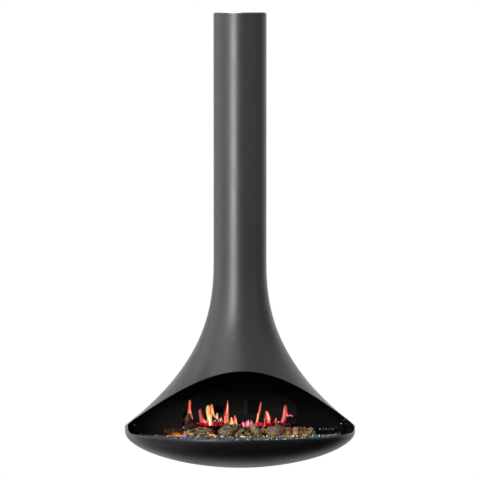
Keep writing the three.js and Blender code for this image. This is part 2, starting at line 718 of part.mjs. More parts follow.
const HOUSING_FLOOR_Z = LINING_FOOT_Z + HOUSING_SHEET;
const HOUSING_BACK_Y = HOUSING_Y + HOUSING_DEPTH;
const SPINDLE_LEFT = WINDOW_OFFSET - SPINDLE_LENGTH / 2;
const SPINDLE_RIGHT = WINDOW_OFFSET + SPINDLE_LENGTH / 2;

/** The arched sheet housing behind the glass, open to the front. */
function flameHousing() {
  const outer = standingSheet(paneOutline(0), HOUSING_Y, HOUSING_DEPTH);
  const depth = 2 * HOUSING_DEPTH - HOUSING_SHEET;
  const inner = standingSheet(paneOutline(HOUSING_SHEET), HOUSING_Y - HOUSING_DEPTH, depth);
  return cut(outer, inner);
}

/** One flame-shaped cut-out: a tongue that narrows upwards and leans to a side. */
function flameTongue(flame, foot) {
  const [x, height, width, lean] = [flame.x, flame.height, flame.width, flame.lean]
    .map((share) => (share * WINDOW_WIDTH) / 100);
  const steps = OUTLINE_STEPS / 2 - 1;
  const edge = (share, side) => {
    const swell = Math.cos((share * Math.PI) / 2) * (0.75 + 0.5 * Math.sin(share * Math.PI));
    const drift = lean * share * share + (width / 6) * Math.sin(share * 2 * Math.PI);
    return [x + drift + (side * width * swell) / 2, foot + height * share];
  };
  const right = spread(0, 1, steps).map((share) => edge(share, 1));
  const left = spread(1, 0, steps).slice(1).map((share) => edge(share, -1));
  return [...right, ...left];
}

const FLAME_FOOT_Z = BED_Z + FLAME_FOOT_RISE;

/** The flames of the mask, from left to right, in hundredths of the window's width. */
const flames = [
  { x: -41.3, height: 23.9, width: 4.1, lean: -1.4 },
  { x: -33.5, height: 16.1, width: 4.6, lean: -0.9 },
  { x: -25.7, height: 20.2, width: 7.8, lean: 2.3 },
  { x: -17.9, height: 11.0, width: 3.2, lean: 1.8 },
  { x: -10.6, height: 24.3, width: 6.0, lean: 1.1 },
  { x: -3.7, height: 10.6, width: 4.1, lean: 0.9 },
  { x: 6.9, height: 6.0, width: 6.9, lean: 0.5 },
  { x: 15.6, height: 21.6, width: 3.7, lean: 3.7 },
  { x: 24.8, height: 14.2, width: 6.0, lean: -1.4 },
  { x: 32.6, height: 7.8, width: 4.1, lean: 0.7 },
  { x: 40.8, height: 19.3, width: 5.5, lean: 0.5 },
];

/** The sheet whose cut-outs give the flames their shape. */
function flameMask() {
  const sheet = standingSheet(paneOutline(HOUSING_SHEET + TOUCH), MASK_Y, MASK_SHEET);
  const tongues = flames.map((flame) => (
    standingSheet(flameTongue(flame, FLAME_FOOT_Z), MASK_Y - MASK_SHEET, 3 * MASK_SHEET)
  ));
  return cut(sheet, ...tongues);
}

/** The shaft with its bright blades, each turned against the one before it. */
function flickerSpindle() {
  const shaft = rodX(SPINDLE_SHAFT_RADIUS, SPINDLE_LEFT, SPINDLE_RIGHT, SMALL_SEGMENTS);
  const room = SPINDLE_LENGTH - 4 * MOTOR_LENGTH;
  const pitch = room / SPINDLE_BLADES;
  const blades = Array.from({ length: SPINDLE_BLADES }, (_, i) => {
    const blade = new THREE.BoxGeometry(pitch * 0.7, 2 * SPINDLE_BLADE_RADIUS, LINING_SHEET / 2);
    const station = WINDOW_OFFSET - room / 2 + pitch * (i + 0.5);
    return blade.rotateX(THREE.MathUtils.degToRad(i * SPINDLE_BLADE_STEP)).translate(station, 0, 0);
  });
  return fuse(shaft, ...blades);
}

/** A bearing bracket for the spindle: a round-topped plate on a foot. */
function spindleBracket() {
  const half = SPINDLE_SHAFT_RADIUS * 3;
  const foot = HOUSING_FLOOR_Z + TOUCH - SPINDLE_Z;
  const outline = [[-half, foot], [half, foot], ...arc(0, 0, half, 0, 180)];
  const hole = arc(0, 0, SPINDLE_SHAFT_RADIUS + RUNNING, 0, 360, SMALL_SEGMENTS).slice(1);
  const plate = standingSheet(outline, -BRACKET_SHEET / 2, BRACKET_SHEET, [hole]).rotateZ(Math.PI / 2);
  const toe = block([0, -half, foot], [half * 1.5, half, foot + BRACKET_SHEET]);
  return fuse(plate, toe);
}

/** A small geared motor with a boss that faces the spindle. */
function spindleMotor() {
  return revolve([
    [0, 0],
    [MOTOR_RADIUS, 0],
    [MOTOR_RADIUS, MOTOR_LENGTH],
    [SPINDLE_SHAFT_RADIUS * 2, MOTOR_LENGTH],
    [SPINDLE_SHAFT_RADIUS * 2, MOTOR_LENGTH + BRACKET_SHEET],
    [0, MOTOR_LENGTH + BRACKET_SHEET],
  ], ROUND_SEGMENTS).rotateY(Math.PI / 2);
}

/** A circuit strip along X with its row of light-emitting diodes. */
function ledStrip(length) {
  const half = LED_STRIP_WIDTH / 2;
  const base = block([-length / 2, -half, 0], [length / 2, half, BOARD_THICKNESS]);
  const diode = BOARD_THICKNESS * 1.5;
  const pitch = length / LED_COUNT;
  const diodes = Array.from({ length: LED_COUNT }, (_, i) => {
    const x = (i + 0.5) * pitch - length / 2;
    return block([x - diode, -diode, BOARD_THICKNESS / 2], [x + diode, diode, 2 * BOARD_THICKNESS]);
  });
  return fuse(base, ...diodes);
}

const bracketStation = SPINDLE_LENGTH / 2 - MOTOR_LENGTH / 2;
const motorStart = SPINDLE_LEFT - TOUCH - BRACKET_SHEET - MOTOR_LENGTH;
place(fireplace, 'flame_housing', flameHousing(), blackSteel());
place(fireplace, 'flame_mask', flameMask(), blackSteel());
place(fireplace, 'flicker_spindle', flickerSpindle(), foil(), [0, SPINDLE_Y, SPINDLE_Z]);
place(fireplace, 'spindle_motor', spindleMotor(), galvanised(), [motorStart, SPINDLE_Y, SPINDLE_Z]);
place(
  fireplace,
  'flame_led_strip',
  ledStrip(LED_STRIP_LENGTH - 2 * MOTOR_LENGTH),
  circuit(),
  [WINDOW_OFFSET, SPINDLE_Y, HOUSING_FLOOR_Z + TOUCH],
);
for (const [side, name] of [[-1, 'left'], [1, 'right']]) {
  const station = WINDOW_OFFSET + side * bracketStation;
  const bracket = place(
    fireplace,
    `spindle_bracket_${name}`,
    spindleBracket(),
    galvanised(),
    [station, SPINDLE_Y, SPINDLE_Z],
  );
  bracket.rotation.z = side > 0 ? Math.PI : 0;
}

// ------------------------------------------------------------------ bed

const TRAY_FLOOR_Z = BED_Z - BED_THICKNESS - TRAY_SHEET - TOUCH;
const TRAY_RIM_Z = TRAY_FLOOR_Z + TRAY_DEPTH - BAND_HEIGHT / 10;
const TRAY_BACK = LINING_SETBACK - TRAY_SHEET - TOUCH;

/** Radius of the tray's outside at a height: it follows the bowl. */
function trayRadius(z) {
  return (bowlInnerRadius(z) - TRAY_BOWL_GAP) * FACET;
}

/** A round solid with the tray's slanted side, cut off behind along the lining. */
function bedSlab(low, high, inset, back) {
  const heights = spread(low, high, SLAB_ROWS);
  const side = heights.map((z) => [trayRadius(z) - inset, z]);
  const body = revolve([[0, low], ...side, [0, high]]);
  const corner = [RIM_RADIUS, back, high + BAND_HEIGHT];
  const front = block([-RIM_RADIUS, -RIM_RADIUS, low - BAND_HEIGHT], corner);
  return common(body, front);
}

/** The pan that holds the bed, with a wall along the lining. */
function bedTray() {
  const outer = bedSlab(TRAY_FLOOR_Z, TRAY_RIM_Z, 0, TRAY_BACK);
  const inner = bedSlab(TRAY_FLOOR_Z + TRAY_SHEET, BED_Z + BAND_HEIGHT, TRAY_SHEET, TRAY_BACK - TRAY_SHEET);
  return cut(outer, inner);
}

/** The translucent bed, with a channel below for its light strip. */
function emberBed() {
  const low = TRAY_FLOOR_Z + TRAY_SHEET + TOUCH;
  const inset = TRAY_SHEET + RUNNING * 3;
  const body = bedSlab(low, BED_Z, inset, TRAY_BACK - TRAY_SHEET - TOUCH);
  const half = LED_STRIP_WIDTH;
  const length = LED_STRIP_LENGTH / 2 + LED_STRIP_WIDTH;
  const channel = block([-length, -half, low - TRAY_SHEET], [length, half, low + 4 * BOARD_THICKNESS]);
  return cut(body, channel.translate(0, LINING_SETBACK / 3, 0));
}

/** Height of the crushed glass at a place of its grid: uneven lumps that fall to a thin edge. */
function glassHeight(i, j, edge) {
  const lump = ((3 * i + 5 * j + i * j) % GLASS_LUMP_STEPS) / (GLASS_LUMP_STEPS - 1);
  const rim = GLASS_BED_HEIGHT / 6;
  return rim + Math.min(edge * 8, 1) * (GLASS_BED_HEIGHT - rim - GLASS_LUMP_DEPTH * lump);
}

/** The layer of crushed glass: a lumpy grid between a back line and the tray's round front. */
function crushedGlassLayer() {
  const across = GLASS_COLUMNS;
  const deep = GLASS_ROWS;
  const reach = trayRadius(BED_Z) - TRAY_SHEET - BED_FRONT_MARGIN;
  const halfWidth = reach * 0.95;
  const frontLine = (x) => -Math.sqrt(reach * reach - x * x);
  const backLine = (x) => GLASS_BACK_Y + GLASS_BACK_RISE * (x / halfWidth) ** 4;
  const positions = [];
  const corners = [];
  const columns = spread(-halfWidth, halfWidth, across);
  columns.forEach((x, i) => {
    spread(frontLine(x), backLine(x), deep).forEach((y, j) => {
      const edge = Math.min(i / across, 1 - i / across, j / deep, 1 - j / deep);
      positions.push(x, y, glassHeight(i, j, edge));
    });
  });
  const row = deep + 1;
  const foot = positions.length / 3;
  columns.forEach((x) => positions.push(x, frontLine(x), 0, x, backLine(x), 0));
  const at = (i, j) => i * row + j;
  const under = (i, side) => foot + 2 * i + side;
  const quad = (p, q, r, s) => corners.push(p, q, r, p, r, s);
  for (let i = 0; i < across; i += 1) {
    for (let j = 0; j < deep; j += 1) {
      quad(at(i, j), at(i + 1, j), at(i + 1, j + 1), at(i, j + 1));
    }
    quad(under(i, 1), under(i + 1, 1), under(i + 1, 0), under(i, 0));
    quad(under(i, 0), under(i + 1, 0), at(i + 1, 0), at(i, 0));
    quad(at(i, deep), at(i + 1, deep), under(i + 1, 1), under(i, 1));
  }
  for (let j = 0; j < deep; j += 1) {
    corners.push(at(0, j), at(0, j + 1), under(0, 0));
    corners.push(at(across, j + 1), at(across, j), under(across, 0));
  }
  corners.push(under(0, 0), at(0, deep), under(0, 1));
  corners.push(under(across, 0), under(across, 1), at(across, deep));
  const geometry = new THREE.BufferGeometry();
  geometry.setAttribute('position', new THREE.Float32BufferAttribute(positions, 3));
  geometry.setIndex(corners);
  return geometryFrom(solidFrom(geometry));
}

/** The ring under tray and chassis that stands on the bowl. */
function bedStand() {
  const top = CHASSIS_Z - TOUCH;
  const foot = bowlInnerZ(STAND_RADIUS) + 4 * TOUCH;
  return revolve([
    [STAND_RADIUS - SHELL_WALL, foot],
    [STAND_RADIUS, foot],
    [STAND_RADIUS, top],
    [STAND_RADIUS - STAND_FLANGE, top],
    [STAND_RADIUS - STAND_FLANGE, top - SHELL_WALL],
    [STAND_RADIUS - SHELL_WALL, top - SHELL_WALL],
    [STAND_RADIUS - SHELL_WALL, foot],
  ], INNER_SEGMENTS);
}

place(fireplace, 'bed_stand', bedStand(), galvanised());
place(fireplace, 'bed_tray', bedTray(), blackSteel());
place(fireplace, 'ember_bed', emberBed(), emberResin());
place(
  fireplace,
  'ember_led_strip',
  ledStrip(LED_STRIP_LENGTH),
  circuit(),
  [0, LINING_SETBACK / 3, TRAY_FLOOR_Z + TRAY_SHEET + TOUCH],
);
place(fireplace, 'crushed_glass', crushedGlassLayer(), crushedGlass(), [0, 0, BED_Z + TOUCH]);

// ------------------------------------------------------------------ wood and stones

/** A rounded, uneven stone: a ball whose radius swells and dips with direction. */
function rock([halfX, halfY, halfZ], seed) {
  const ball = new THREE.IcosahedronGeometry(1, halfX > FINE_STONE ? 2 : 1);
  const points = ball.attributes.position;
  const p = new THREE.Vector3();
  for (let i = 0; i < points.count; i += 1) {
    p.fromBufferAttribute(points, i);
    const swell = Math.sin(2.3 * p.x + seed) * Math.sin(2.9 * p.y + 2 * seed) * Math.cos(2.1 * p.z - seed);
    p.multiplyScalar(1 - STONE_DIP * Math.abs(swell));
    p.z = Math.max(p.z, -STONE_FOOT);
    points.setXYZ(i, p.x * halfX, p.y * halfY, p.z * halfZ);
  }
  return ball.translate(0, 0, halfZ * STONE_FOOT);
}

/** A length of wood along X with a knobbly bark and slightly pinched ends. */
function logLength(length, radius, seed) {
  const profile = spread(0, 1, LOG_ROWS).map((share) => {
    const knob = 1 + 0.07 * Math.sin(share * 17 + seed) - 0.18 * Math.abs(2 * share - 1) ** 6;
    return [radius * knob, (share - 0.5) * length];
  });
  const ends = [[0, -length / 2], ...profile, [0, length / 2]];
  return revolve(ends, SMALL_SEGMENTS).rotateY(Math.PI / 2);
}

/** The same wood lying with its thickest knot on the ground. */
function lyingLog(length, radius, seed) {
  return logLength(length, radius, seed).translate(0, 0, radius * LOG_SWELL);
}

/** The dark driftwood piece: a bark log, a thicker trunk and an upright broken stub. */
function driftwood() {
  const units = (...shares) => shares.map((share) => share * BED_UNIT);
  const log = lyingLog(...units(12.2, 1.6), 1).translate(...units(-4.6, 0, 0));
  const trunk = lyingLog(...units(9.6, 1.5), 4).translate(...units(3.8, 0.4, 0.2));
  const stub = logLength(...units(5.4, 1.2), 2).rotateY(STUB_LEAN - Math.PI / 2);
  const root = rock(units(3, 1.5, 2.4), 3).translate(...units(0, 0, 1.4));
  return fuse(log, trunk, stub.translate(...units(-1.2, 0, 5.4)), root);
}

/** A piece that lies on the bed, at a place in bed units. */
function layOnBed(name, geometry, material, x, y, rise = 0) {
  const spot = [x * BED_UNIT, y * BED_UNIT, BED_Z + TOUCH + rise * BED_UNIT];
  return place(fireplace, name, geometry, material, spot);
}

layOnBed('driftwood', driftwood(), bark(), -18.1, 7.8);
layOnBed('split_log', lyingLog(10 * BED_UNIT, 1.1 * BED_UNIT, 5), paleWood(), -16.4, 1.2);

/** The charred branch that leans on the pumice. */
const stick = logLength(4.6 * BED_UNIT, 0.8 * BED_UNIT, 3);
const branch = layOnBed('charred_branch', stick, bark(), 0.5, 4.4, 2.1);
branch.rotation.y = -BRANCH_SLOPE;

/** The stones, from left to right: place on the bed and half-sizes, in bed units. */
const stones = [
  { name: 'pumice_stone', x: -4.9, y: 1.8, half: [3.4, 2.6, 2.5], seed: 1 },
  { name: 'stone_back_left', x: -4.9, y: 8, half: [1.5, 1.4, 2.6], seed: 2 },
  { name: 'stone_back_middle', x: -1.7, y: 7.6, half: [1.6, 1.5, 2.5], seed: 3 },
  { name: 'stone_middle_small', x: 3, y: 6.4, half: [1, 1, 2.1], seed: 4 },
  { name: 'stone_middle_back', x: 5.6, y: 7.8, half: [2, 1.5, 2.4], seed: 5 },
  { name: 'stone_middle_front', x: 6.6, y: 0.8, half: [1.6, 1.6, 1.6], seed: 6 },
  { name: 'stone_right_inner', x: 9, y: 4.2, half: [1.1, 1.2, 1.9], seed: 7 },
  { name: 'stone_right_large', x: 13.3, y: 0.4, half: [3.9, 2.5, 2.4], seed: 8 },
  { name: 'stone_right_back', x: 14.6, y: 7.6, half: [1.1, 1.2, 2.5], seed: 9 },
  { name: 'stone_right_amber', x: 17.7, y: 4.4, half: [2, 1.5, 1.9], seed: 10 },
  { name: 'stone_right_outer', x: 21.4, y: 6.4, half: [1.6, 1.4, 1.8], seed: 11 },
  { name: 'stone_end_inner', x: 23.6, y: 4.4, half: [0.9, 1, 1.4], seed: 14 },
  { name: 'stone_end_small', x: 24.9, y: 7, half: [1, 1.1, 1.2], seed: 12 },
  { name: 'stone_end_large', x: 27.2, y: 8.4, half: [1.5, 1.3, 1.6], seed: 13 },
];
stones.forEach(({ name, x, y, half, seed }) => {
  const body = rock(half.map((size) => size * BED_UNIT), seed);
  layOnBed(name, body, name.startsWith('pumice') ? pumice() : stone(), x, y);
});

// ------------------------------------------------------------------ controls

const CONTROL_FRONT = LINING_SETBACK - TOUCH - CONTROL_THICKNESS;

/** The glossy strip on the right side panel, with round holes for buttons and lamp. */
function controlPanel() {
  const half = CONTROL_LENGTH / 2;
  const body = block(
    [CONTROL_CENTRE_X - half, CONTROL_FRONT, CONTROL_Z - CONTROL_HEIGHT / 2],
    [CONTROL_CENTRE_X + half, CONTROL_FRONT + CONTROL_THICKNESS, CONTROL_Z + CONTROL_HEIGHT / 2],
  );
  const through = (radius, x) => {
    const rod = rodY(radius, -CONTROL_THICKNESS, 2 * CONTROL_THICKNESS, HOLE_SEGMENTS);
    return rod.translate(x, CONTROL_FRONT, CONTROL_Z);
  };
  const holes = buttonStations.map((x) => through(BUTTON_RADIUS + RUNNING, x));
  return cut(body, ...holes, through(LAMP_RADIUS + TOUCH, LAMP_X));
}

/** A push button: a round cap, a stem through the panel and a collar that keeps it in. */
function pushButton() {
  const stemEnd = BUTTON_THICKNESS + 3 * LINING_SHEET + CONTROL_THICKNESS;
  const collar = LINING_BACK - CONTROL_FRONT + BUTTON_PROUD + TOUCH;
  return revolve([
    [0, 0],
    [BUTTON_RADIUS - 0.4, 0],
    [BUTTON_RADIUS, 0.4],
    [BUTTON_RADIUS, BUTTON_THICKNESS],
    [BUTTON_STEM_RADIUS, BUTTON_THICKNESS],
    [BUTTON_STEM_RADIUS, collar],
    [BUTTON_RADIUS - RUNNING, collar],
    [BUTTON_RADIUS - RUNNING, collar + 1],
    [BUTTON_STEM_RADIUS, collar + 1],
    [BUTTON_STEM_RADIUS, stemEnd],
    [0, stemEnd],
  ], HOLE_SEGMENTS).rotateX(-Math.PI / 2);
}

/** The board behind the panel, with one switch for each button. */
function controlBoard() {
  const stemEnd = BUTTON_THICKNESS + 3 * LINING_SHEET + CONTROL_THICKNESS;
  const switchFace = CONTROL_FRONT - BUTTON_PROUD + stemEnd + BUTTON_TRAVEL + TOUCH;
  const boardFront = switchFace + CONTROL_THICKNESS;
  const half = CONTROL_LENGTH / 2 - BUTTON_RADIUS;
  const base = block(
    [CONTROL_CENTRE_X - half, boardFront, CONTROL_Z - CONTROL_HEIGHT],
    [CONTROL_CENTRE_X + half, boardFront + BOARD_THICKNESS, CONTROL_Z + CONTROL_HEIGHT / 2],
  );
  const switches = buttonStations.map((x) => block(
    [x - BUTTON_RADIUS / 2, switchFace, CONTROL_Z - BUTTON_RADIUS / 2],
    [x + BUTTON_RADIUS / 2, boardFront + BOARD_THICKNESS / 2, CONTROL_Z + BUTTON_RADIUS / 2],
  ));
  return fuse(base, ...switches);
}

/** The small domed lamp beside the buttons. */
function statusLamp() {
  const length = CONTROL_THICKNESS;
  return revolve([
    [0, -length],
    [LAMP_RADIUS, -length],
    [LAMP_RADIUS, 0],
    [LAMP_RADIUS / 2, LAMP_RADIUS / 3],
    [0, LAMP_RADIUS / 2.5],
  ], SMALL_SEGMENTS).rotateX(Math.PI / 2);
}

place(fireplace, 'control_panel', controlPanel(), glossBlack());
place(fireplace, 'control_board', controlBoard(), circuit());
place(fireplace, 'status_lamp', statusLamp(), lampGreen(), [LAMP_X, CONTROL_FRONT, CONTROL_Z]);
buttonStations.forEach((x, i) => {
  place(
    fireplace,
    `push_button_${i + 1}`,
    pushButton(),
    buttonGrey(),
    [x, CONTROL_FRONT - BUTTON_PROUD, CONTROL_Z],
  );
});

// ------------------------------------------------------------------ power supply

const SUPPLY_SIZE = [110, 60, 34];
const SUPPLY_FLANGE = 10;

/** The power supply: a ribbed case on two screw flanges. */
function powerSupply() {
  const [length, width, height] = SUPPLY_SIZE;
  const reach = length / 2 + SUPPLY_FLANGE;
  const foot = block([-reach, -width / 4, 0], [reach, width / 4, LINING_SHEET]);
  const body = block([-length / 2, -width / 2, 0], [length / 2, width / 2, height]);
  const grooves = spread(-length / 3, length / 3, 4).map((x) => block(
    [x - LINING_SHEET, -width, height - LINING_SHEET],
    [x + LINING_SHEET, width, height + LINING_SHEET],
  ));
  return cut(fuse(body, foot), ...grooves);
}

place(
  fireplace,
  'power_supply',
  powerSupply(),
  galvanised(),
  [0, HOUSING_BACK_Y + SUPPLY_SIZE[1] / 2 + 2 * SUPPLY_FLANGE, LINING_FOOT_Z],
);

export default model;
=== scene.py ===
"""Looks of the hanging electric fireplace: finishes, fine shells, flame picture, bed and studio."""

from __future__ import annotations

import json
import logging
import math
from collections.abc import Sequence
from dataclasses import dataclass
from enum import Enum

import bmesh
import bpy
import numpy as np
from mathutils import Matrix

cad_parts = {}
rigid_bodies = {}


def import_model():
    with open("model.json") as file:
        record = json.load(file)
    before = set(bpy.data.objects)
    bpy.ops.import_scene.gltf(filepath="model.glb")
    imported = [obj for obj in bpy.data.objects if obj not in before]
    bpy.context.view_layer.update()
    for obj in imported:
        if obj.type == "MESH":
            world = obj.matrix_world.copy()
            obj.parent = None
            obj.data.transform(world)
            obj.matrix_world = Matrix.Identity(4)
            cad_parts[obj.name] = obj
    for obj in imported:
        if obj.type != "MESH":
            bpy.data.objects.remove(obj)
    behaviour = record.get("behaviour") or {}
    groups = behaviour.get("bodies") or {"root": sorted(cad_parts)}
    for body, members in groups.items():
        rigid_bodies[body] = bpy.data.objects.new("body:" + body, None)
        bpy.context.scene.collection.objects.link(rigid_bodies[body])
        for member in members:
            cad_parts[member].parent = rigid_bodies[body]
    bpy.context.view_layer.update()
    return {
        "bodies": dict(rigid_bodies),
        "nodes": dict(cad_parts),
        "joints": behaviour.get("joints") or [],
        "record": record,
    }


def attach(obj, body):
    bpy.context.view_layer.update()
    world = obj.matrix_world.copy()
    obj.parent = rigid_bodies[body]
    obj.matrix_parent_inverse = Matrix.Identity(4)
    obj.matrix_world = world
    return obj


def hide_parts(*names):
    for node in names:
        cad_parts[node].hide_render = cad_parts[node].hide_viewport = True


LOG = logging.getLogger("fireplace")
Array = np.ndarray
Colour = tuple[float, float, float]
Place = tuple[float, float, float]
Pair = tuple[float, float]
Piece = bpy.types.Object
Material = bpy.types.Material
Socket = bpy.types.NodeSocket

MM = 0.001
MAIN_BODY = "fireplace"
SEED = 20

HASH_STEPS = np.array([374761393, 668265263, 1274126177], dtype=np.int64)
HASH_SEED = 974711
HASH_TURN = 1274126177
HASH_TOP = 0xFFFF
LATTICE_SHIFT = 4096.0


# -------- noise and meshes


def lattice_value(cells: Array, seed: int) -> Array:
    """Gives each lattice corner its own fixed number between -1 and 1.

    Args:
        cells: Whole-number corners, one row of three each.
        seed: Chooses another set of numbers.

    Returns:
        One number for each corner.
    """
    mixed = (cells * HASH_STEPS).sum(axis=-1) + seed * HASH_SEED
    mixed = (mixed ^ (mixed >> 13)) * HASH_TURN
    mixed = mixed ^ (mixed >> 16)
    return (mixed & HASH_TOP) / HASH_TOP * 2.0 - 1.0


def smooth_noise(points: Array, cell: float, seed: int) -> Array:
    """Blends the eight corner numbers round each point by the smooth step t*t*(3-2t).

    Args:
        points: Places, the last axis holds x, y, z.
        cell: Width of one lattice cell in the same unit.
        seed: Chooses another pattern.

    Returns:
        One number between -1 and 1 for each place.
    """
    scaled = points / cell + LATTICE_SHIFT
    low = np.floor(scaled).astype(np.int64)
    part = scaled - low
    part = part * part * (3.0 - 2.0 * part)
    total = np.zeros(points.shape[:-1])
    for corner in np.ndindex(2, 2, 2):
        step = np.array(corner)
        weight = np.prod(np.where(step == 1, part, 1.0 - part), axis=-1)
        total += weight * lattice_value(low + step, seed)
    return total


def rough_noise(points: Array, cell: float, seed: int, layers: int = 4) -> Array:
    """Adds layers of smooth noise, each half as wide and half as strong as the one before.

    Args:
        points: Places, the last axis holds x, y, z.
        cell: Width of the widest layer's cells.
        seed: Chooses another pattern.
        layers: How many layers are added.

    Returns:
        One number for each place, about -1 to 1.
    """
    total = np.zeros(points.shape[:-1])
    for layer in range(layers):
        total += smooth_noise(points, cell / 2**layer, seed + layer) / 2**layer
    return total / (2.0 - 2.0 ** (1 - layers))


def smooth_share(value: Array, low: float, high: float) -> Array:
    """Runs from 0 at low to 1 at high by the smooth step t*t*(3-2t)."""
    share = np.clip((value - low) / (high - low), 0.0, 1.0)
    return share * share * (3.0 - 2.0 * share)


def unit(rows: Array, axis: int = 1) -> Array:
    """Divides each row by its length."""
    return rows / np.linalg.norm(rows, axis=axis, keepdims=True)


def full_turn(count: int) -> Array:
    """Gives angles that divide a full turn evenly."""
    return np.linspace(0.0, 2 * math.pi, count, endpoint=False)


def ball_ways(rows: int, columns: int) -> Array:
    """Directions of a ball's grid: (sin f cos t, sin f sin t, cos f), f from pole to pole.

    Args:
        rows: Rows from the upper pole to the lower one.
        columns: Columns round the ball.

    Returns:
        Rows by columns by three.
    """
    fall = np.linspace(0.0, math.pi, rows)[:, None]
    turn = full_turn(columns)[None]
    parts = (np.sin(fall) * np.cos(turn), np.sin(fall) * np.sin(turn), np.cos(fall) + 0 * turn)
    return np.stack(parts, axis=-1)


class Form:
    """Points, faces and painted values of one piece while it is being shaped, in millimetres."""

    def __init__(self) -> None:
        """Starts with no surface."""
        self.points: list[Array] = []
        self.faces: list[list[int]] = []
        self.paints: list[Array] = []
        self.count = 0

    def _store(self, points: Array, paint: Array | None) -> int:
        """Keeps new points with their paint and returns the first one's number.

        Args:
            points: New points, the last axis holds x, y, z.
            paint: Their painted values, if any.

        Returns:
            The first new point's number.
        """
        first = self.count
        flat = points.reshape(-1, 3)
        if paint is None:
            paint = np.zeros((len(flat), 4))
        self.points.append(flat)
        self.paints.append(paint.reshape(-1, 4))
        self.count += len(flat)
        return first

    def grid(
        self,
        points: Array,
        wrap: bool = True,
        ring: bool = False,
        paint: Array | None = None,
    ) -> None:
        """Adds a grid of quads; a tube's first and last row are closed by a face each.

        Args:
            points: Rows by columns by three.
            wrap: The last column joins the first.
            ring: The last row joins the first.
            paint: Rows by columns by four painted values.
        """
        rows, columns = points.shape[:2]
        first = self._store(points, paint)
        index = first + np.arange(rows * columns).reshape(rows, columns)
        if wrap:
            index = np.concatenate([index, index[:, :1]], axis=1)
        if ring:
            index = np.concatenate([index, index[:1]], axis=0)
        quads = np.stack([index[:-1, :-1], index[1:, :-1], index[1:, 1:], index[:-1, 1:]], axis=-1)
        self.faces.extend(quads.reshape(-1, 4).tolist())
        if wrap and not ring:
            self.faces.append(index[0, :-1].tolist())
            self.faces.append(index[-1, :-1][::-1].tolist())

    def ball(self, points: Array, paint: Array | None = None) -> None:
        """Adds a closed surface whose first and last row each shrink to one point.

        Args:
            points: Rows by columns by three; the end rows are taken at their mean.
            paint: Rows by columns by four painted values.
        """
        rows, columns = points.shape[:2]
        body = points[1:-1]
        first = self._store(body, None if paint is None else paint[1:-1])
        ends = np.stack([points[0].mean(axis=0), points[-1].mean(axis=0)])
        end_paint = None if paint is None else np.stack([paint[0, 0], paint[-1, 0]])
        top = self._store(ends, end_paint)
        index = first + np.arange((rows - 2) * columns).reshape(rows - 2, columns)
        index = np.concatenate([index, index[:, :1]], axis=1)
        quads = np.stack([index[:-1, :-1], index[1:, :-1], index[1:, 1:], index[:-1, 1:]], axis=-1)
        self.faces.extend(quads.reshape(-1, 4).tolist())
        upper = np.stack([np.full(columns, top), index[0, :-1], index[0, 1:]], axis=-1)
        lower = np.stack([np.full(columns, top + 1), index[-1, 1:], index[-1, :-1]], axis=-1)
        self.faces.extend(upper.tolist())
        self.faces.extend(lower.tolist())

    def shards(self, points: Array, faces: Array, paint: Array) -> None:
        """Adds many small shapes that share one list of faces.

        Args:
            points: Shapes by corners by three.
            faces: Faces by corners, numbered inside one shape.
            paint: Shapes by four painted values.
        """
        shapes, corners = points.shape[:2]
        first = self._store(points, np.repeat(paint, corners, axis=0))
        offsets = first + np.arange(shapes)[:, None, None] * corners
        self.faces.extend((faces[None] + offsets).reshape(-1, faces.shape[1]).tolist())

    def mesh(self, name: str, outward: bool = True) -> Piece:
        """Makes the Blender object.

        Args:
            name: The object's name.
            outward: The faces are turned so that they all face out.

        Returns:
            The object, in metres, at the origin.
        """
        mesh = bpy.data.meshes.new(name)
        points = np.concatenate(self.points) * MM
        mesh.from_pydata(points.tolist(), [], self.faces)
        layer = mesh.attributes.new("paint", "FLOAT_COLOR", "POINT")
        layer.data.foreach_set("color", np.concatenate(self.paints).astype(np.float32).ravel())
        if outward:
            turned = bmesh.new()
            turned.from_mesh(mesh)
            bmesh.ops.recalc_face_normals(turned, faces=turned.faces)
            turned.to_mesh(mesh)
            turned.free()
        mesh.update()
        thing = bpy.data.objects.new(name, mesh)
        bpy.context.scene.collection.objects.link(thing)
        return thing


def soften(thing: Piece, degrees: float = 40.0) -> None:
    """Shades a mesh smooth and keeps the edges sharper than the given angle.

    Args:
        thing: The object.
        degrees: Edges sharper than this stay sharp.
    """
    mesh = thing.data
    mesh.polygons.foreach_set("use_smooth", np.ones(len(mesh.polygons), dtype=bool))
    mesh.set_sharp_from_angle(angle=math.radians(degrees))
    mesh.update()


def ease(values: Sequence[Sequence[float]], rows: int) -> Array:
    """Draws a smooth curve through measured rows by the Catmull-Rom rule.

    Args:
        values: Measured rows.
        rows: How many rows the curve has.

    Returns:
        The curve's rows.
    """
    known = np.asarray(values, dtype=float)
    padded = np.concatenate([2 * known[:1] - known[1:2], known, 2 * known[-1:] - known[-2:-1]])
    place = np.linspace(0.0, len(known) - 1.000001, rows)
    low = place.astype(int)
    part = (place - low)[:, None]
    before, start, end, after = (padded[low + step] for step in range(4))
    bend = 2 * before - 5 * start + 4 * end - after
    twist = 3 * (start - end) + after - before
    return 0.5 * (2 * start + (end - before) * part + bend * part**2 + twist * part**3)


# -------- finishes


class Tree:
    """Adds nodes to a node tree and joins them."""

    def __init__(self, tree: bpy.types.NodeTree) -> None:
        """Empties the tree.

        Args:
            tree: The node tree.
        """
        self.tree = tree
        self.tree.nodes.clear()

    def add(self, kind: str, inputs: dict | None = None, **settings: object) -> bpy.types.Node:
        """Adds one node.

        Args:
            kind: Blender's name of the node.
            inputs: A number, colour or another node's output for each input.
            **settings: The node's own settings.

        Returns:
            The node.
        """
        node = self.tree.nodes.new(kind)
        for key, value in settings.items():
            setattr(node, key, value)
        for key, value in (inputs or {}).items():
            if isinstance(value, Socket):
                self.tree.links.new(value, node.inputs[key])
            else:
                node.inputs[key].default_value = value
        return node


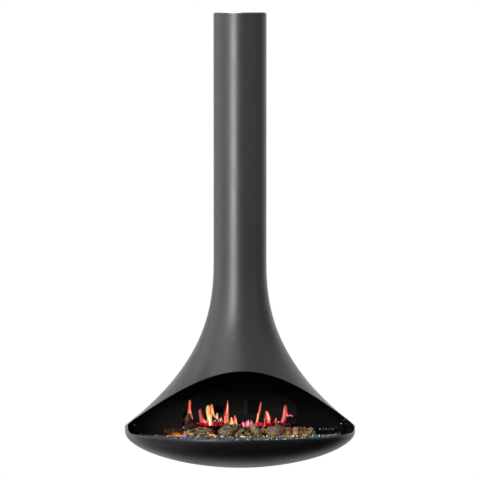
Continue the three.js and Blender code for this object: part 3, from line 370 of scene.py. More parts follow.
class Graph(Tree):
    """Adds nodes to one new material and joins them."""

    def __init__(self, name: str) -> None:
        """Starts an empty material.

        Args:
            name: The material's name.
        """
        self.material = bpy.data.materials.new(name)
        self.material.use_nodes = True
        super().__init__(self.material.node_tree)
        self.place = self.add("ShaderNodeTexCoord").outputs["Object"]

    def stretched(self, scale: Place) -> Socket:
        """Gives the object's own coordinates, stretched along each axis."""
        return self.add("ShaderNodeMapping", {"Vector": self.place, "Scale": scale}).outputs[0]

    def noise(self, scale: float, detail: float = 4.0, where: Socket | None = None) -> Socket:
        """Gives cloudy noise from 0 to 1 in the object's own coordinates."""
        source = {"Vector": where or self.place, "Scale": scale, "Detail": detail}
        return self.add("ShaderNodeTexNoise", source).outputs[0]

    def cells(self, scale: float) -> Socket:
        """Gives the distance to the nearest of many scattered points."""
        source = {"Vector": self.place, "Scale": scale}
        return self.add("ShaderNodeTexVoronoi", source).outputs["Distance"]

    def span(self, value: Socket, source: Pair, target: Pair) -> Socket:
        """Moves values from one range to another and stops at its ends."""
        inputs = {0: value, 1: source[0], 2: source[1], 3: target[0], 4: target[1]}
        return self.add("ShaderNodeMapRange", inputs).outputs[0]

    def blend(
        self, share: Socket, low: Colour | Socket, high: Colour | Socket, way: str = "MIX"
    ) -> Socket:
        """Runs from one colour to another by a share.

        Args:
            share: 0 for the low colour, 1 for the high one.
            low: The low colour.
            high: The high colour.
            way: Blender's name of the mix.

        Returns:
            The mixed colour.
        """
        node = self.add("ShaderNodeMix", {0: share}, data_type="RGBA", blend_type=way)
        for slot, value in ((6, low), (7, high)):
            if isinstance(value, Socket):
                self.tree.links.new(value, node.inputs[slot])
            else:
                node.inputs[slot].default_value = (*value, 1.0)
        return node.outputs[2]

    def paint(self) -> bpy.types.Node:
        """Reads the values painted on the mesh."""
        return self.add("ShaderNodeAttribute", attribute_name="paint")

    def relief(self, height: Socket, depth: float) -> Socket:
        """Turns a height pattern into a relief of the given depth in metres."""
        inputs = {"Height": height, "Distance": depth, "Strength": 1.0}
        return self.add("ShaderNodeBump", inputs).outputs[0]

    def surface(self, inputs: dict) -> bpy.types.Node:
        """Adds the surface shader."""
        return self.add("ShaderNodeBsdfPrincipled", inputs)

    def done(self, shader: bpy.types.Node) -> Material:
        """Sends a shader to the output and returns the material."""
        self.add("ShaderNodeOutputMaterial", {"Surface": shader.outputs[0]})
        return self.material


@dataclass(frozen=True)
class Finish:
    """Something that can be made into a material.

    Attributes:
        name: The finish's name.
    """

    name: str

    def build(self) -> Material:
        """Makes the material.

        Returns:
            The material.
        """
        raise NotImplementedError


@dataclass(frozen=True)
class Coat(Finish):
    """A painted, plated or moulded surface with fine grain, faint clouds and worn spots.

    Attributes:
        base: Main colour.
        worn: Colour of worn and dusty spots.
        roughness: Mean roughness.
        shift: How far clouds move the roughness each way.
        metallic: 1 for bare metal.
        specular: Strength of the plain reflection.
        grain: Grain marks in a metre.
        depth: Depth of the grain in metres.
        brushed: Stretch of the grain along each axis.
        wear: Share of the surface from which worn spots start, 1 for none.
    """

    base: Colour
    worn: Colour
    roughness: float = 0.5
    shift: float = 0.06
    metallic: float = 0.0
    specular: float = 0.5
    grain: float = 900.0
    depth: float = 0.00002
    brushed: Place = (1.0, 1.0, 1.0)
    wear: float = 0.62

    def build(self) -> Material:
        """Mixes the two colours by clouds and fine specks, and moves the roughness with them.

        Returns:
            The material.
        """
        graph = Graph(self.name)
        clouds = graph.noise(7.0, 5.0)
        fine = graph.noise(self.grain, 3.0, graph.stretched(self.brushed))
        spots = graph.span(graph.noise(46.0, 8.0), (self.wear, self.wear + 0.16), (0.0, 1.0))
        colour = graph.blend(spots, self.base, self.worn)
        rough = (self.roughness - self.shift, self.roughness + self.shift)
        inputs = {
            "Base Color": colour,
            "Roughness": graph.span(clouds, (0.3, 0.7), rough),
            "Metallic": self.metallic,
            "Specular IOR Level": self.specular,
            "Normal": graph.relief(fine, self.depth),
        }
        return graph.done(graph.surface(inputs))


@dataclass(frozen=True)
class TopShadedBlack(Finish):
    """Matt black lining with painted shade: darker towards the top, where the hood shades it, and lighter
    towards the bed.

    Attributes:
        shade_tone: Colour painted at the top as the hood's shade.
        lit_tone_and_dust: Colour of the lit lining towards the bed.
        level: Heights in metres where the painted shade is full and where it has given way to the lit
            colour.
        specular: Strength of the plain reflection.
    """

    shade_tone: Colour
    lit_tone_and_dust: Colour
    level: Pair = (-1.42, -1.6)
    specular: float = 0.03

    def build(self) -> Material:
        """Blends the painted shade at the top into the lit colour towards the bed by height, broken up by
        clouds and specks.

        Returns:
            The material.
        """
        graph = Graph(self.name)
        # painted shade: the colour darkens towards the top, where the hood shades the lining
        height = graph.add("ShaderNodeSeparateXYZ", {0: graph.place}).outputs["Z"]
        rise = graph.add(
            "ShaderNodeMapRange",
            {0: height, 1: self.level[0], 2: self.level[1]},
            interpolation_type="SMOOTHSTEP",
        ).outputs[0]
        clouds = graph.span(graph.noise(26.0, 6.0), (0.25, 0.75), (0.8, 1.0))
        share = graph.add("ShaderNodeMath", {0: rise, 1: clouds}, operation="MULTIPLY").outputs[0]
        fine = graph.noise(700.0, 3.0)
        inputs = {
            "Base Color": graph.blend(share, self.shade_tone, self.lit_tone_and_dust),
            "Roughness": graph.span(clouds, (0.8, 1.0), (0.58, 0.72)),
            "Specular IOR Level": self.specular,
            "Normal": graph.relief(fine, 0.00003),
        }
        return graph.done(graph.surface(inputs))


@dataclass(frozen=True)
class SmokedMirror(Finish):
    """Dark mirror glass: the tint it throws back, and how rough its hazy and dusty spots are."""

    tint: Colour
    haze: float = 0.09

    def build(self) -> Material:
        """Lets clouds and dust change how sharp the reflection is.

        Returns:
            The material.
        """
        graph = Graph(self.name)
        lit_tone_and_dust = graph.span(graph.noise(420.0, 6.0), (0.55, 0.75), (0.02, self.haze))
        smoke = graph.blend(graph.noise(9.0, 3.0), self.tint, tuple(0.8 * part for part in self.tint))
        inputs = {
            "Base Color": smoke,
            "Metallic": 1.0,
            "Roughness": lit_tone_and_dust,
            "Normal": graph.relief(graph.noise(5.0, 1.0), 0.0001),
        }
        return graph.done(graph.surface(inputs))


@dataclass(frozen=True)
class Mineral(Finish):
    """A stone: mottled ground, darker veins and specks, with a grainy relief.

    Attributes:
        light: Colour of the pale areas.
        dark: Colour of the dark areas.
        speck: Colour of the small grains.
        roughness: Mean roughness.
        mottle: Mottles in a metre.
        grain: Grains in a metre.
        depth: Depth of the relief in metres.
        warm: Light from the glowing bed that is caught near the foot, painted on the mesh.
    """

    light: Colour
    dark: Colour
    speck: Colour
    roughness: float = 0.6
    mottle: float = 110.0
    grain: float = 170.0
    depth: float = 0.0022
    warm: float = 1.0

    def build(self) -> Material:
        """Mixes mottles, veins and specks; the paint adds the bed's glow.

        Returns:
            The material.
        """
        graph = Graph(self.name)
        mottles = graph.span(graph.noise(self.mottle, 6.0), (0.36, 0.62), (0.0, 1.0))
        ground = graph.blend(mottles, self.dark, self.light)
        grains = graph.cells(self.grain)
        specked = graph.blend(graph.span(grains, (0.12, 0.34), (0.8, 0.0)), ground, self.speck)
        height = graph.blend(mottles, (0.2, 0.2, 0.2), graph.noise(self.grain, 4.0), "ADD")
        glow = graph.paint()
        inputs = {
            "Base Color": specked,
            "Roughness": graph.span(mottles, (0.0, 1.0), (self.roughness - 0.12, self.roughness + 0.1)),
            "Normal": graph.relief(height, self.depth),
            "Emission Color": glow.outputs["Color"],
            "Emission Strength": self.warm,
        }
        return graph.done(graph.surface(inputs))


@dataclass(frozen=True)
class Timber(Finish):
    """Weathered wood: long fibres, dark grooves, pale ridges; the paint holds glow and cut faces.

    Attributes:
        ridge: Colour of the raised fibres.
        groove: Colour of the grooves.
        cut: Colour of a cut face.
        fibre: Stretch of the fibres along x, y, z.
        roughness: Mean roughness.
        depth: Depth of the relief in metres.
        warm: Strength of the painted glow.
        blotch: How dark the scorched patches are, 0 for none.
    """

    ridge: Colour
    groove: Colour
    cut: Colour
    fibre: Place = (60.0, 420.0, 420.0)
    roughness: float = 0.75
    depth: float = 0.0012
    warm: float = 1.0
    blotch: float = 0.85

    def build(self) -> Material:
        """Runs from groove to ridge by stretched noise and adds cross cracks.

        Returns:
            The material.
        """
        graph = Graph(self.name)
        fibres = graph.noise(1.0, 5.0, graph.stretched(self.fibre))
        patches = graph.noise(55.0, 5.0)
        ridges = graph.span(fibres, (0.38, 0.6), (0.0, 1.0))
        wood = graph.blend(ridges, self.groove, self.ridge)
        scorched = graph.span(patches, (0.42, 0.56), (self.blotch, 0.0))
        shaded = graph.blend(scorched, wood, self.groove)
        glow = graph.paint()
        rings = graph.span(graph.noise(140.0, 4.0), (0.4, 0.58), (0.25, 1.0))
        fresh = graph.blend(rings, self.groove, self.cut)
        inputs = {
            "Base Color": graph.blend(glow.outputs["Alpha"], fresh, shaded),
            "Roughness": graph.span(fibres, (0.3, 0.7), (self.roughness + 0.1, self.roughness - 0.12)),
            "Specular IOR Level": 0.2,
            "Normal": graph.relief(fibres, self.depth),
            "Emission Color": glow.outputs["Color"],
            "Emission Strength": self.warm,
        }
        return graph.done(graph.surface(inputs))


@dataclass(frozen=True)
class ChipGlass(Finish):
    """Broken coloured glass with a painted glow that stands for the light from below; the paint holds each
    chip's colour and that glow.
    """

    lit: float = 1.0

    def build(self) -> Material:
        """Uses the painted colour for body and painted glow, and a fine ripple on the broken faces that
        also paints small white glints.

        Returns:
            The material.
        """
        graph = Graph(self.name)
        paint = graph.paint()
        ripple = graph.noise(380.0, 3.0)
        # painted glints: the ripple lightens the colour and the glow towards white
        painted_glint = graph.span(ripple, (0.4, 0.7), (0.0, 0.16))
        tone = graph.blend(painted_glint, paint.outputs["Color"], (1.0, 1.0, 1.0))
        inner = graph.span(paint.outputs["Alpha"], (0.0, 1.0), (0.0, self.lit))
        inputs = {
            "Base Color": tone,
            "Roughness": graph.span(ripple, (0.3, 0.7), (0.12, 0.3)),
            "Specular IOR Level": 0.12,
            "Emission Color": tone,
            "Emission Strength": inner,
            "Normal": graph.relief(ripple, 0.0006),
        }
        return graph.done(graph.surface(inputs))


@dataclass(frozen=True)
class EmberResin(Finish):
    """Cast ember bed: charred crust with light coming through the cracks."""

    crust: Colour
    ash: Colour
    lit: float = 1.0

    def build(self) -> Material:
        """Breaks the painted glow up by cells so that it comes through the cracks.

        Returns:
            The material.
        """
        graph = Graph(self.name)
        lumps = graph.cells(120.0)
        ashes = graph.span(graph.noise(160.0, 6.0), (0.42, 0.66), (0.0, 1.0))
        glow = graph.paint()
        cracks = graph.span(lumps, (0.2, 0.7), (0.08 * self.lit, 1.5 * self.lit))
        inputs = {
            "Base Color": graph.blend(ashes, self.crust, self.ash),
            "Roughness": graph.span(ashes, (0.0, 1.0), (0.7, 0.92)),
            "Normal": graph.relief(lumps, 0.003),
            "Emission Color": glow.outputs["Color"],
            "Emission Strength": cracks,
        }
        return graph.done(graph.surface(inputs))


@dataclass(frozen=True)
class FlameLight(Finish):
    """Light of the flame picture: it adds to what the glass behind it shows."""

    strength: float = 1.0

    def build(self) -> Material:
        """Adds the painted light, broken up by upright streaks, to a clear sheet.

        Returns:
            The material.
        """
        graph = Graph(self.name)
        streaks = graph.noise(1.0, 4.0, graph.stretched((330.0, 40.0, 70.0)))
        power = graph.span(streaks, (0.34, 0.66), (0.72 * self.strength, 1.22 * self.strength))
        source = {"Color": graph.paint().outputs["Color"], "Strength": power}
        light = graph.add("ShaderNodeEmission", source)
        clear = graph.add("ShaderNodeBsdfTransparent")
        both = graph.add("ShaderNodeAddShader", {0: light.outputs[0], 1: clear.outputs[0]})
        return graph.done(both)


@dataclass(frozen=True)
class Foil(Finish):
    """Crumpled bright foil of the flicker blades."""

    tint: Colour

    def build(self) -> Material:
        """Dents the foil by scattered cells.

        Returns:
            The material.
        """
        graph = Graph(self.name)
        dents = graph.cells(160.0)
        worn = graph.blend(graph.noise(80.0, 6.0), self.tint, tuple(0.7 * part for part in self.tint))
        inputs = {
            "Base Color": worn,
            "Metallic": 1.0,
            "Roughness": graph.span(dents, (0.0, 0.8), (0.12, 0.3)),
            "Normal": graph.relief(dents, 0.0012),
        }
        return graph.done(graph.surface(inputs))


@dataclass(frozen=True)
class Circuit(Finish):
    """Lacquered circuit board with copper tracks showing through."""

    lacquer: Colour
    track: Colour

    def build(self) -> Material:
        """Lays straight tracks by a square-celled pattern.

        Returns:
            The material.
        """
        graph = Graph(self.name)
        bands = graph.add(
            "ShaderNodeTexBrick",
            {"Vector": graph.place, "Scale": 90.0, "Mortar Size": 0.03},
        )
        colour = graph.blend(bands.outputs["Fac"], self.lacquer, self.track)
        inputs = {
            "Base Color": colour,
            "Roughness": graph.span(graph.noise(120.0), (0.3, 0.7), (0.28, 0.42)),
            "Normal": graph.relief(bands.outputs["Fac"], 0.0001),
        }
        return graph.done(graph.surface(inputs))


@dataclass(frozen=True)
class LampLens(Finish):
    """Green lamp with a white-hot core at a place given in metres."""

    lit: Colour
    strength: float
    core: Place = (0.3143, 0.15, -1.5892)

    def build(self) -> Material:
        """Runs from the white core to green, broken up by a fine moulded pattern.

        Returns:
            The material.
        """
        graph = Graph(self.name)
        ribs = graph.cells(900.0)
        where = {0: graph.place, 1: self.core}
        away = graph.add("ShaderNodeVectorMath", where, operation="DISTANCE").outputs["Value"]
        core = graph.span(away, (0.0022, 0.0007), (0.0, 0.9))
        inputs = {
            "Base Color": graph.blend(ribs, self.lit, (0.8, 1.0, 0.85)),
            "Roughness": graph.span(ribs, (0.0, 1.0), (0.15, 0.3)),
            "Emission Color": graph.blend(core, self.lit, (1.0, 1.0, 1.0)),
            "Emission Strength": self.strength,
            "Normal": graph.relief(ribs, 0.0002),
        }
        return graph.done(graph.surface(inputs))


class Finishes:
    """Keeps one material for each finish."""

    def __init__(self) -> None:
        """Starts with none made."""
        self.made: dict[str, Material] = {}

    def get(self, finish: Finish) -> Material:
        """Gives the finish's material and makes it when it is new.

        Args:
            finish: The finish.

        Returns:
            Its material.
        """
        if finish.name not in self.made:
            self.made[finish.name] = finish.build()
        return self.made[finish.name]


SHELL_PAINT = Coat("shell_paint", (0.0032, 0.0032, 0.0033), (0.012, 0.012, 0.012), 0.34, 0.04, grain=1500.0)
# painted shade: the lining paints darken towards the top under the hood, and the right panel gets a darker
# shaded copy
LINING_PAINT = TopShadedBlack("lining_paint", (0.0003, 0.0003, 0.0003), (0.021, 0.0205, 0.0195))
SHADED_LINING = TopShadedBlack("shaded_lining", (0.0002, 0.0002, 0.0002), (0.0085, 0.0082, 0.0078), specular=0.01)
# the lintel is black, and its paint is darker than the lining's as painted shade for its recess
SHADED_LINTEL_BLACK = TopShadedBlack("lintel_black", (0.0003, 0.0003, 0.0003), (0.004, 0.004, 0.004), specular=0.02)
GALVANISED = Coat(
    "galvanised_steel", (0.46, 0.47, 0.48), (0.3, 0.31, 0.33), 0.42, 0.1, 1.0, grain=260.0, wear=0.5
)
BLACK_STEEL = Coat("black_steel", (0.018, 0.018, 0.019), (0.09, 0.085, 0.08), 0.5, 0.1, grain=500.0)
BRIGHT_STEEL = Coat(
    "bright_steel", (0.62, 0.61, 0.59), (0.4, 0.39, 0.37), 0.26, 0.08, 1.0, grain=300.0, brushed=(1, 1, 12)
)
BLACK_RUBBER = Coat("black_rubber", (0.014, 0.014, 0.014), (0.05, 0.05, 0.05), 0.78, grain=1100.0)
MIRROR = SmokedMirror("smoked_mirror", (0.11, 0.108, 0.104))
FROSTED = Coat("frosted_plastic", (0.72, 0.72, 0.7), (0.6, 0.58, 0.52), 0.55, grain=800.0)
SPINDLE_FOIL = Foil("spindle_foil", (0.86, 0.87, 0.88))
CIRCUIT = Circuit("circuit_board", (0.008, 0.07, 0.03), (0.03, 0.16, 0.07))
EMBER = EmberResin("ember_resin", (0.016, 0.012, 0.010), (0.09, 0.07, 0.05))
CHIPS = ChipGlass("crushed_glass")
BARK = Timber(
    "bark", (0.085, 0.031, 0.016), (0.006, 0.003, 0.002), (0.15, 0.095, 0.04), (90.0, 240.0, 240.0)
)
TRUNK = Timber(
    "grey_trunk", (0.52, 0.33, 0.2), (0.03, 0.017, 0.011), (0.09, 0.055, 0.026), (60.0, 260.0, 260.0)
)
PALE_WOOD = Timber(
    "pale_wood", (0.7, 0.48, 0.24), (0.012, 0.007, 0.004), (0.6, 0.33, 0.2), (45.0, 130.0, 170.0)
)
CHAR = Timber(
    "charred_bark", (0.34, 0.22, 0.13), (0.007, 0.004, 0.003), (0.1, 0.07, 0.05), (130.0, 160.0, 190.0)
)
TAN_STONE = Mineral("tan_stone", (0.46, 0.3, 0.15), (0.06, 0.036, 0.016), (0.6, 0.46, 0.28))
OLIVE_STONE = Mineral("olive_stone", (0.36, 0.26, 0.12), (0.045, 0.031, 0.013), (0.5, 0.4, 0.23))
GREY_STONE = Mineral("grey_stone", (0.25, 0.18, 0.11), (0.07, 0.05, 0.03), (0.4, 0.32, 0.22))
BROWN_STONE = Mineral("brown_stone", (0.24, 0.13, 0.065), (0.04, 0.023, 0.013), (0.36, 0.22, 0.12))
GRAIN_STONE = Mineral(
    "grained_stone", (0.26, 0.17, 0.1), (0.05, 0.031, 0.017), (0.62, 0.44, 0.27), 0.7, 130.0, 140.0, 0.004
)
PUMICE = Mineral(
    "pumice", (0.26, 0.18, 0.115), (0.04, 0.026, 0.017), (0.95, 0.7, 0.52), 0.85, 120.0, 125.0, 0.004
)
GLOSS_BLACK = Coat("gloss_black", (0.003, 0.003, 0.003), (0.01, 0.01, 0.01), 0.1, 0.03, depth=0.000004)
BUTTON_BLACK = Coat("button_grey", (0.012, 0.012, 0.012), (0.03, 0.03, 0.03), 0.4, specular=0.2)
BUTTON_PRINT = Coat("button_print", (0.2, 0.2, 0.195), (0.12, 0.12, 0.115), 0.5, specular=0.1, grain=1800.0)
LENS = LampLens("lamp_lens", (0.014, 0.32, 0.05), 1.7)
FLAMES = FlameLight("flame_light")


# -------- makers


@dataclass
class Maker:
    """A maker of pieces; all makers share one set of materials.

    Attributes:
        finishes: Where materials come from.
    """

    finishes: Finishes

    def build(self) -> None:
        """Makes the pieces."""
        raise NotImplementedError

    def dress(
        self, thing: Piece, finish: Finish, slot: str, node: str | None = None, body: str = MAIN_BODY
    ) -> None:
        """Gives a piece its material and body, and hides the node it stands for.

        Args:
            thing: The piece.
            finish: Its finish.
            slot: The record's slot; not used.
            node: The node it stands for, if any.
            body: The body it rides on.
        """
        thing.data.materials.clear()
        thing.data.materials.append(self.finishes.get(finish))
        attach(thing, body)
        if node:
            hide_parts(node)
        LOG.info("%s: %d faces", thing.name, len(thing.data.polygons))


# -------- outer shell


@dataclass(frozen=True)
class ShellSizes:
    """Sizes of tube, hood and bowl in millimetres, level 0 at the ceiling."""

    tube_radius: float = 100.0
    sheet: float = 2.5
    tube_top: float = -3.0
    tube_foot: float = -879.96
    neck_top: float = -880.0
    flare_top: float = -932.0
    flare_height: float = 630.0
    flare_spread: float = 335.0
    flare_power: float = 2.44
    rim_radius: float = 435.0
    band_top: float = -1562.3
    band_foot: float = -1583.0
    bowl_depth: float = 135.0
    bowl_across: float = 1.8
    bowl_down: float = 0.55
    arch_crown: float = -1340.0
    arch_rise: float = 215.4
    arch_half: float = 426.27
    arch_roundness: float = 0.774
    sill: float = -1580.0
    sill_corner: float = 15.0
    cutter_front: float = -870.0
    segments: int = 288
    flare_rows: int = 96
    bowl_rows: int = 56
    edge_bead: float = 1.35


@dataclass
class OuterShell(Maker):
    """Tube, flared hood with its arched opening, and bowl."""

    sizes: ShellSizes = ShellSizes()

    def flare_radius(self, level: Array, inset: float) -> Array:
        """Outer radius 100+335*share^2.44, less the sheet measured square to the slope.

        Args:
            level: Heights.
            inset: How far the sheet's face lies inside the outer face.

        Returns:
            The radius at each height.
        """
        sizes = self.sizes
        share = np.clip((sizes.flare_top - level) / sizes.flare_height, 0.0, 1.0)
        steep = sizes.flare_spread / sizes.flare_height * sizes.flare_power
        slope = steep * share ** (sizes.flare_power - 1)
        radius = sizes.tube_radius + sizes.flare_spread * share**sizes.flare_power
        return radius - inset * np.hypot(1, slope)

    def bowl_curve(self, inset: float) -> Array:
        """Bowl section from the lowest point to the band's foot by powers of sine and cosine.

        Args:
            inset: How far the face lies inside the outer face.

        Returns:
            Rows of radius and height.
        """
        sizes = self.sizes
        turn = np.linspace(0.0, math.pi / 2, sizes.bowl_rows)
        radius = (sizes.rim_radius - inset) * np.sin(turn) ** (2 / sizes.bowl_across)
        depth = (sizes.bowl_depth - inset) * np.abs(np.cos(turn)) ** (2 * sizes.bowl_down)
        return np.stack([radius, sizes.band_foot - depth], axis=-1)

    def revolve(self, section: Array) -> Array:
        """Turns a section round the upright axis.

        Args:
            section: Rows of radius and height.

        Returns:
            Rows by columns by three.
        """
        angle = full_turn(self.sizes.segments)
        radius, level = section[:, :1], section[:, 1:]
        parts = (radius * np.cos(angle), radius * np.sin(angle), level + 0.0 * angle)
        return np.stack(parts, axis=-1)

    def arch_level(self, across: Array) -> Array:
        """Height of the opening's arch: a hyperbola that falls from the crown to the springing.

        Args:
            across: Distance from the middle.

        Returns:
            The height there.
        """
        sizes = self.sizes
        bend = np.hypot(sizes.arch_roundness, across / sizes.arch_half) - sizes.arch_roundness
        whole = math.hypot(sizes.arch_roundness, 1.0) - sizes.arch_roundness
        return sizes.arch_crown - sizes.arch_rise * bend / whole

    def opening_outline(self) -> Array:
        """Outline of the opening seen from the front: arch, upright ends, rounded sill corners.

        Returns:
            Rows of x and height.
        """
        sizes = self.sizes
        across = np.linspace(sizes.arch_half, -sizes.arch_half, 360)
        arch = np.stack([across, self.arch_level(across)], axis=-1)
        turn = np.linspace(0.0, math.pi / 2, 14)
        curve = np.stack([np.cos(turn), np.sin(turn)], axis=-1) * sizes.sill_corner
        middle = (sizes.arch_half - sizes.sill_corner, sizes.sill + sizes.sill_corner)
        left = np.stack([-middle[0] - curve[:, 0], middle[1] - curve[:, 1]], axis=-1)
        foot = np.linspace(-middle[0], middle[0], 160)[1:-1]
        sill = np.stack([foot, np.full_like(foot, sizes.sill)], axis=-1)
        right = np.stack([middle[0] + curve[::-1, 0], middle[1] - curve[::-1, 1]], axis=-1)
        return np.concatenate([arch, left, sill, right])

    def cutter(self) -> Piece:
        """Prism of the opening's outline from well in front back to the middle plane.

        Returns:
            The prism.
        """
        outline = self.opening_outline()
        rows = [np.stack([outline[:, 0], np.full(len(outline), y), outline[:, 1]], axis=-1) for y in (
            self.sizes.cutter_front,
            0.0,
        )]
        form = Form()
        form.grid(np.stack(rows))
        return form.mesh("opening_cutter")

    def carve(self, shell: Piece, cutter: Piece) -> Piece:
        """Takes the opening out of a shell and keeps the cut mesh.

        Args:
            shell: The whole shell.
            cutter: The opening's prism.

        Returns:
            The shell with its opening.
        """
        cut = shell.modifiers.new("opening", "BOOLEAN")
        cut.operation = "DIFFERENCE"
        cut.solver = "MANIFOLD"
        cut.object = cutter
        graph = bpy.context.evaluated_depsgraph_get()
        carved = bpy.data.meshes.new_from_object(shell.evaluated_get(graph))
        shell.modifiers.clear()
        whole = shell.data
        shell.data = carved
        bpy.data.meshes.remove(whole)
        carved.name = shell.name
        return shell

    def edge(self, along: Array, radius_at: Array) -> Array:
        """Round bead that follows a cut edge at the middle of the sheet.

        Args:
            along: Rows of x and height on the edge.
            radius_at: Radius of the sheet's middle at each row.

        Returns:
            Rows by columns by three.
        """
        depth = -np.sqrt(np.maximum(radius_at**2 - along[:, 0] ** 2, 0.0))
        line = np.stack([along[:, 0], depth, along[:, 1]], axis=-1)
        ahead = np.gradient(line, axis=0)
        ahead = unit(ahead)
        out = np.stack([along[:, 0], depth, 0 * depth], axis=-1)
        out = unit(out)
        side = np.cross(ahead, out)
        side = unit(side)
        turn = full_turn(8)[None, :, None]
        ring = np.cos(turn) * out[:, None] + np.sin(turn) * side[:, None]
        return line[:, None] + self.sizes.edge_bead * ring

    def tube(self) -> Piece:
        """Plain tube between ceiling plate and hood.

        Returns:
            The tube.
        """
        sizes = self.sizes
        levels = np.linspace(sizes.tube_top, sizes.tube_foot, 24)
        outer = np.stack([np.full_like(levels, sizes.tube_radius), levels], axis=-1)
        inner = outer[::-1] - (sizes.sheet, 0.0)
        form = Form()
        form.grid(self.revolve(np.concatenate([outer, inner])), ring=True)
        return form.mesh("tube_skin")

    def hood(self, cutter: Piece) -> Piece:
        """Neck and flare with the arch cut out.

        Args:
            cutter: The opening's prism.

        Returns:
            The hood.
        """
        sizes = self.sizes
        neck = np.linspace(sizes.neck_top, sizes.flare_top, 5)[:-1]
        flare = sizes.flare_top - sizes.flare_height * np.linspace(0.0, 1.0, sizes.flare_rows)
        levels = np.concatenate([neck, flare])
        outer = np.stack([self.flare_radius(levels, 0.0), levels], axis=-1)
        inner = np.stack([self.flare_radius(levels[::-1], sizes.sheet), levels[::-1]], axis=-1)
        form = Form()
        form.grid(self.revolve(np.concatenate([outer, inner])), ring=True)
        return self.carve(form.mesh("hood_skin"), cutter)

    def bowl(self, cutter: Piece) -> Piece:
        """Bowl with its upright band, the sill cut out.

        Args:
            cutter: The opening's prism.

        Returns:
            The bowl.
        """
        sizes = self.sizes
        outer = self.bowl_curve(0.0)
        inner = self.bowl_curve(sizes.sheet)[::-1]
        band = np.linspace(sizes.band_foot, sizes.band_top, 9)[1:]
        outer_band = np.stack([np.full_like(band, sizes.rim_radius), band], axis=-1)
        inner_band = outer_band[::-1] - (sizes.sheet, 0.0)
        form = Form()
        form.ball(self.revolve(np.concatenate([outer, outer_band, inner_band, inner])))
        return self.carve(form.mesh("bowl_skin"), cutter)

    def beads(self) -> Piece:
        """Rounded edge of the arch.

        Returns:
            The edge.
        """
        sizes = self.sizes
        half = sizes.sheet / 2
        across = np.linspace(-0.985, 0.985, 420) * sizes.arch_half
        arch = np.stack([across, self.arch_level(across)], axis=-1)
        form = Form()
        form.grid(self.edge(arch, self.flare_radius(arch[:, 1], half)))
        return form.mesh("opening_edge")

    def build(self) -> None:
        """Makes the shell's pieces and hides the nodes they stand for."""
        cutter = self.cutter()
        pieces = (
            (self.tube(), "flue_tube"),
            (self.hood(cutter), "hood_shell"),
            (self.bowl(cutter), "bowl_shell"),
            (self.beads(), None),
        )
        bpy.data.objects.remove(cutter)
        for thing, node in pieces:
            soften(thing)
            self.dress(thing, SHELL_PAINT, "shell_paint", node)


# -------- flame picture


class Glow(Enum):
    """Light of a flame at its rim and in its heart."""

    CRIMSON = ((0.16, 0.0, 0.02), (0.75, 0.012, 0.055))
    CRIMSON_DIM = ((0.05, 0.0, 0.006), (0.2, 0.008, 0.02))
    SALMON = ((0.55, 0.03, 0.03), (1.0, 0.24, 0.16))
    DUSKY = ((0.34, 0.02, 0.035), (0.72, 0.14, 0.12))
    ORANGE = ((0.7, 0.09, 0.03), (1.05, 0.5, 0.16))
    YELLOW = ((0.8, 0.2, 0.04), (1.1, 0.85, 0.34))
    WHITE = ((0.9, 0.5, 0.2), (1.1, 1.05, 0.8))
    CREAM = ((0.4, 0.26, 0.12), (0.8, 0.74, 0.42))
    CREAM_DIM = ((0.1, 0.06, 0.03), (0.3, 0.26, 0.14))
    PINK = ((0.4, 0.015, 0.09), (0.9, 0.16, 0.3))
    LILAC = ((0.35, 0.08, 0.2), (0.85, 0.6, 0.8))

    @property
    def rim(self) -> Array:
        """Light at the rim."""
        return np.array(self.value[0])

    @property
    def heart(self) -> Array:
        """Light in the heart."""
        return np.array(self.value[1])


class Course(Enum):
    """How a flame's widths are measured: level, or square to its path."""

    TONGUE = "level"
    SWEEP = "square"


@dataclass(frozen=True)
class Flame:
    """One tongue of light; rows hold centre across, height over the bed and width in millimetres."""

    name: str
    glow: Glow
    course: Course
    heart: float
    rows: tuple[tuple[float, float, float], ...]


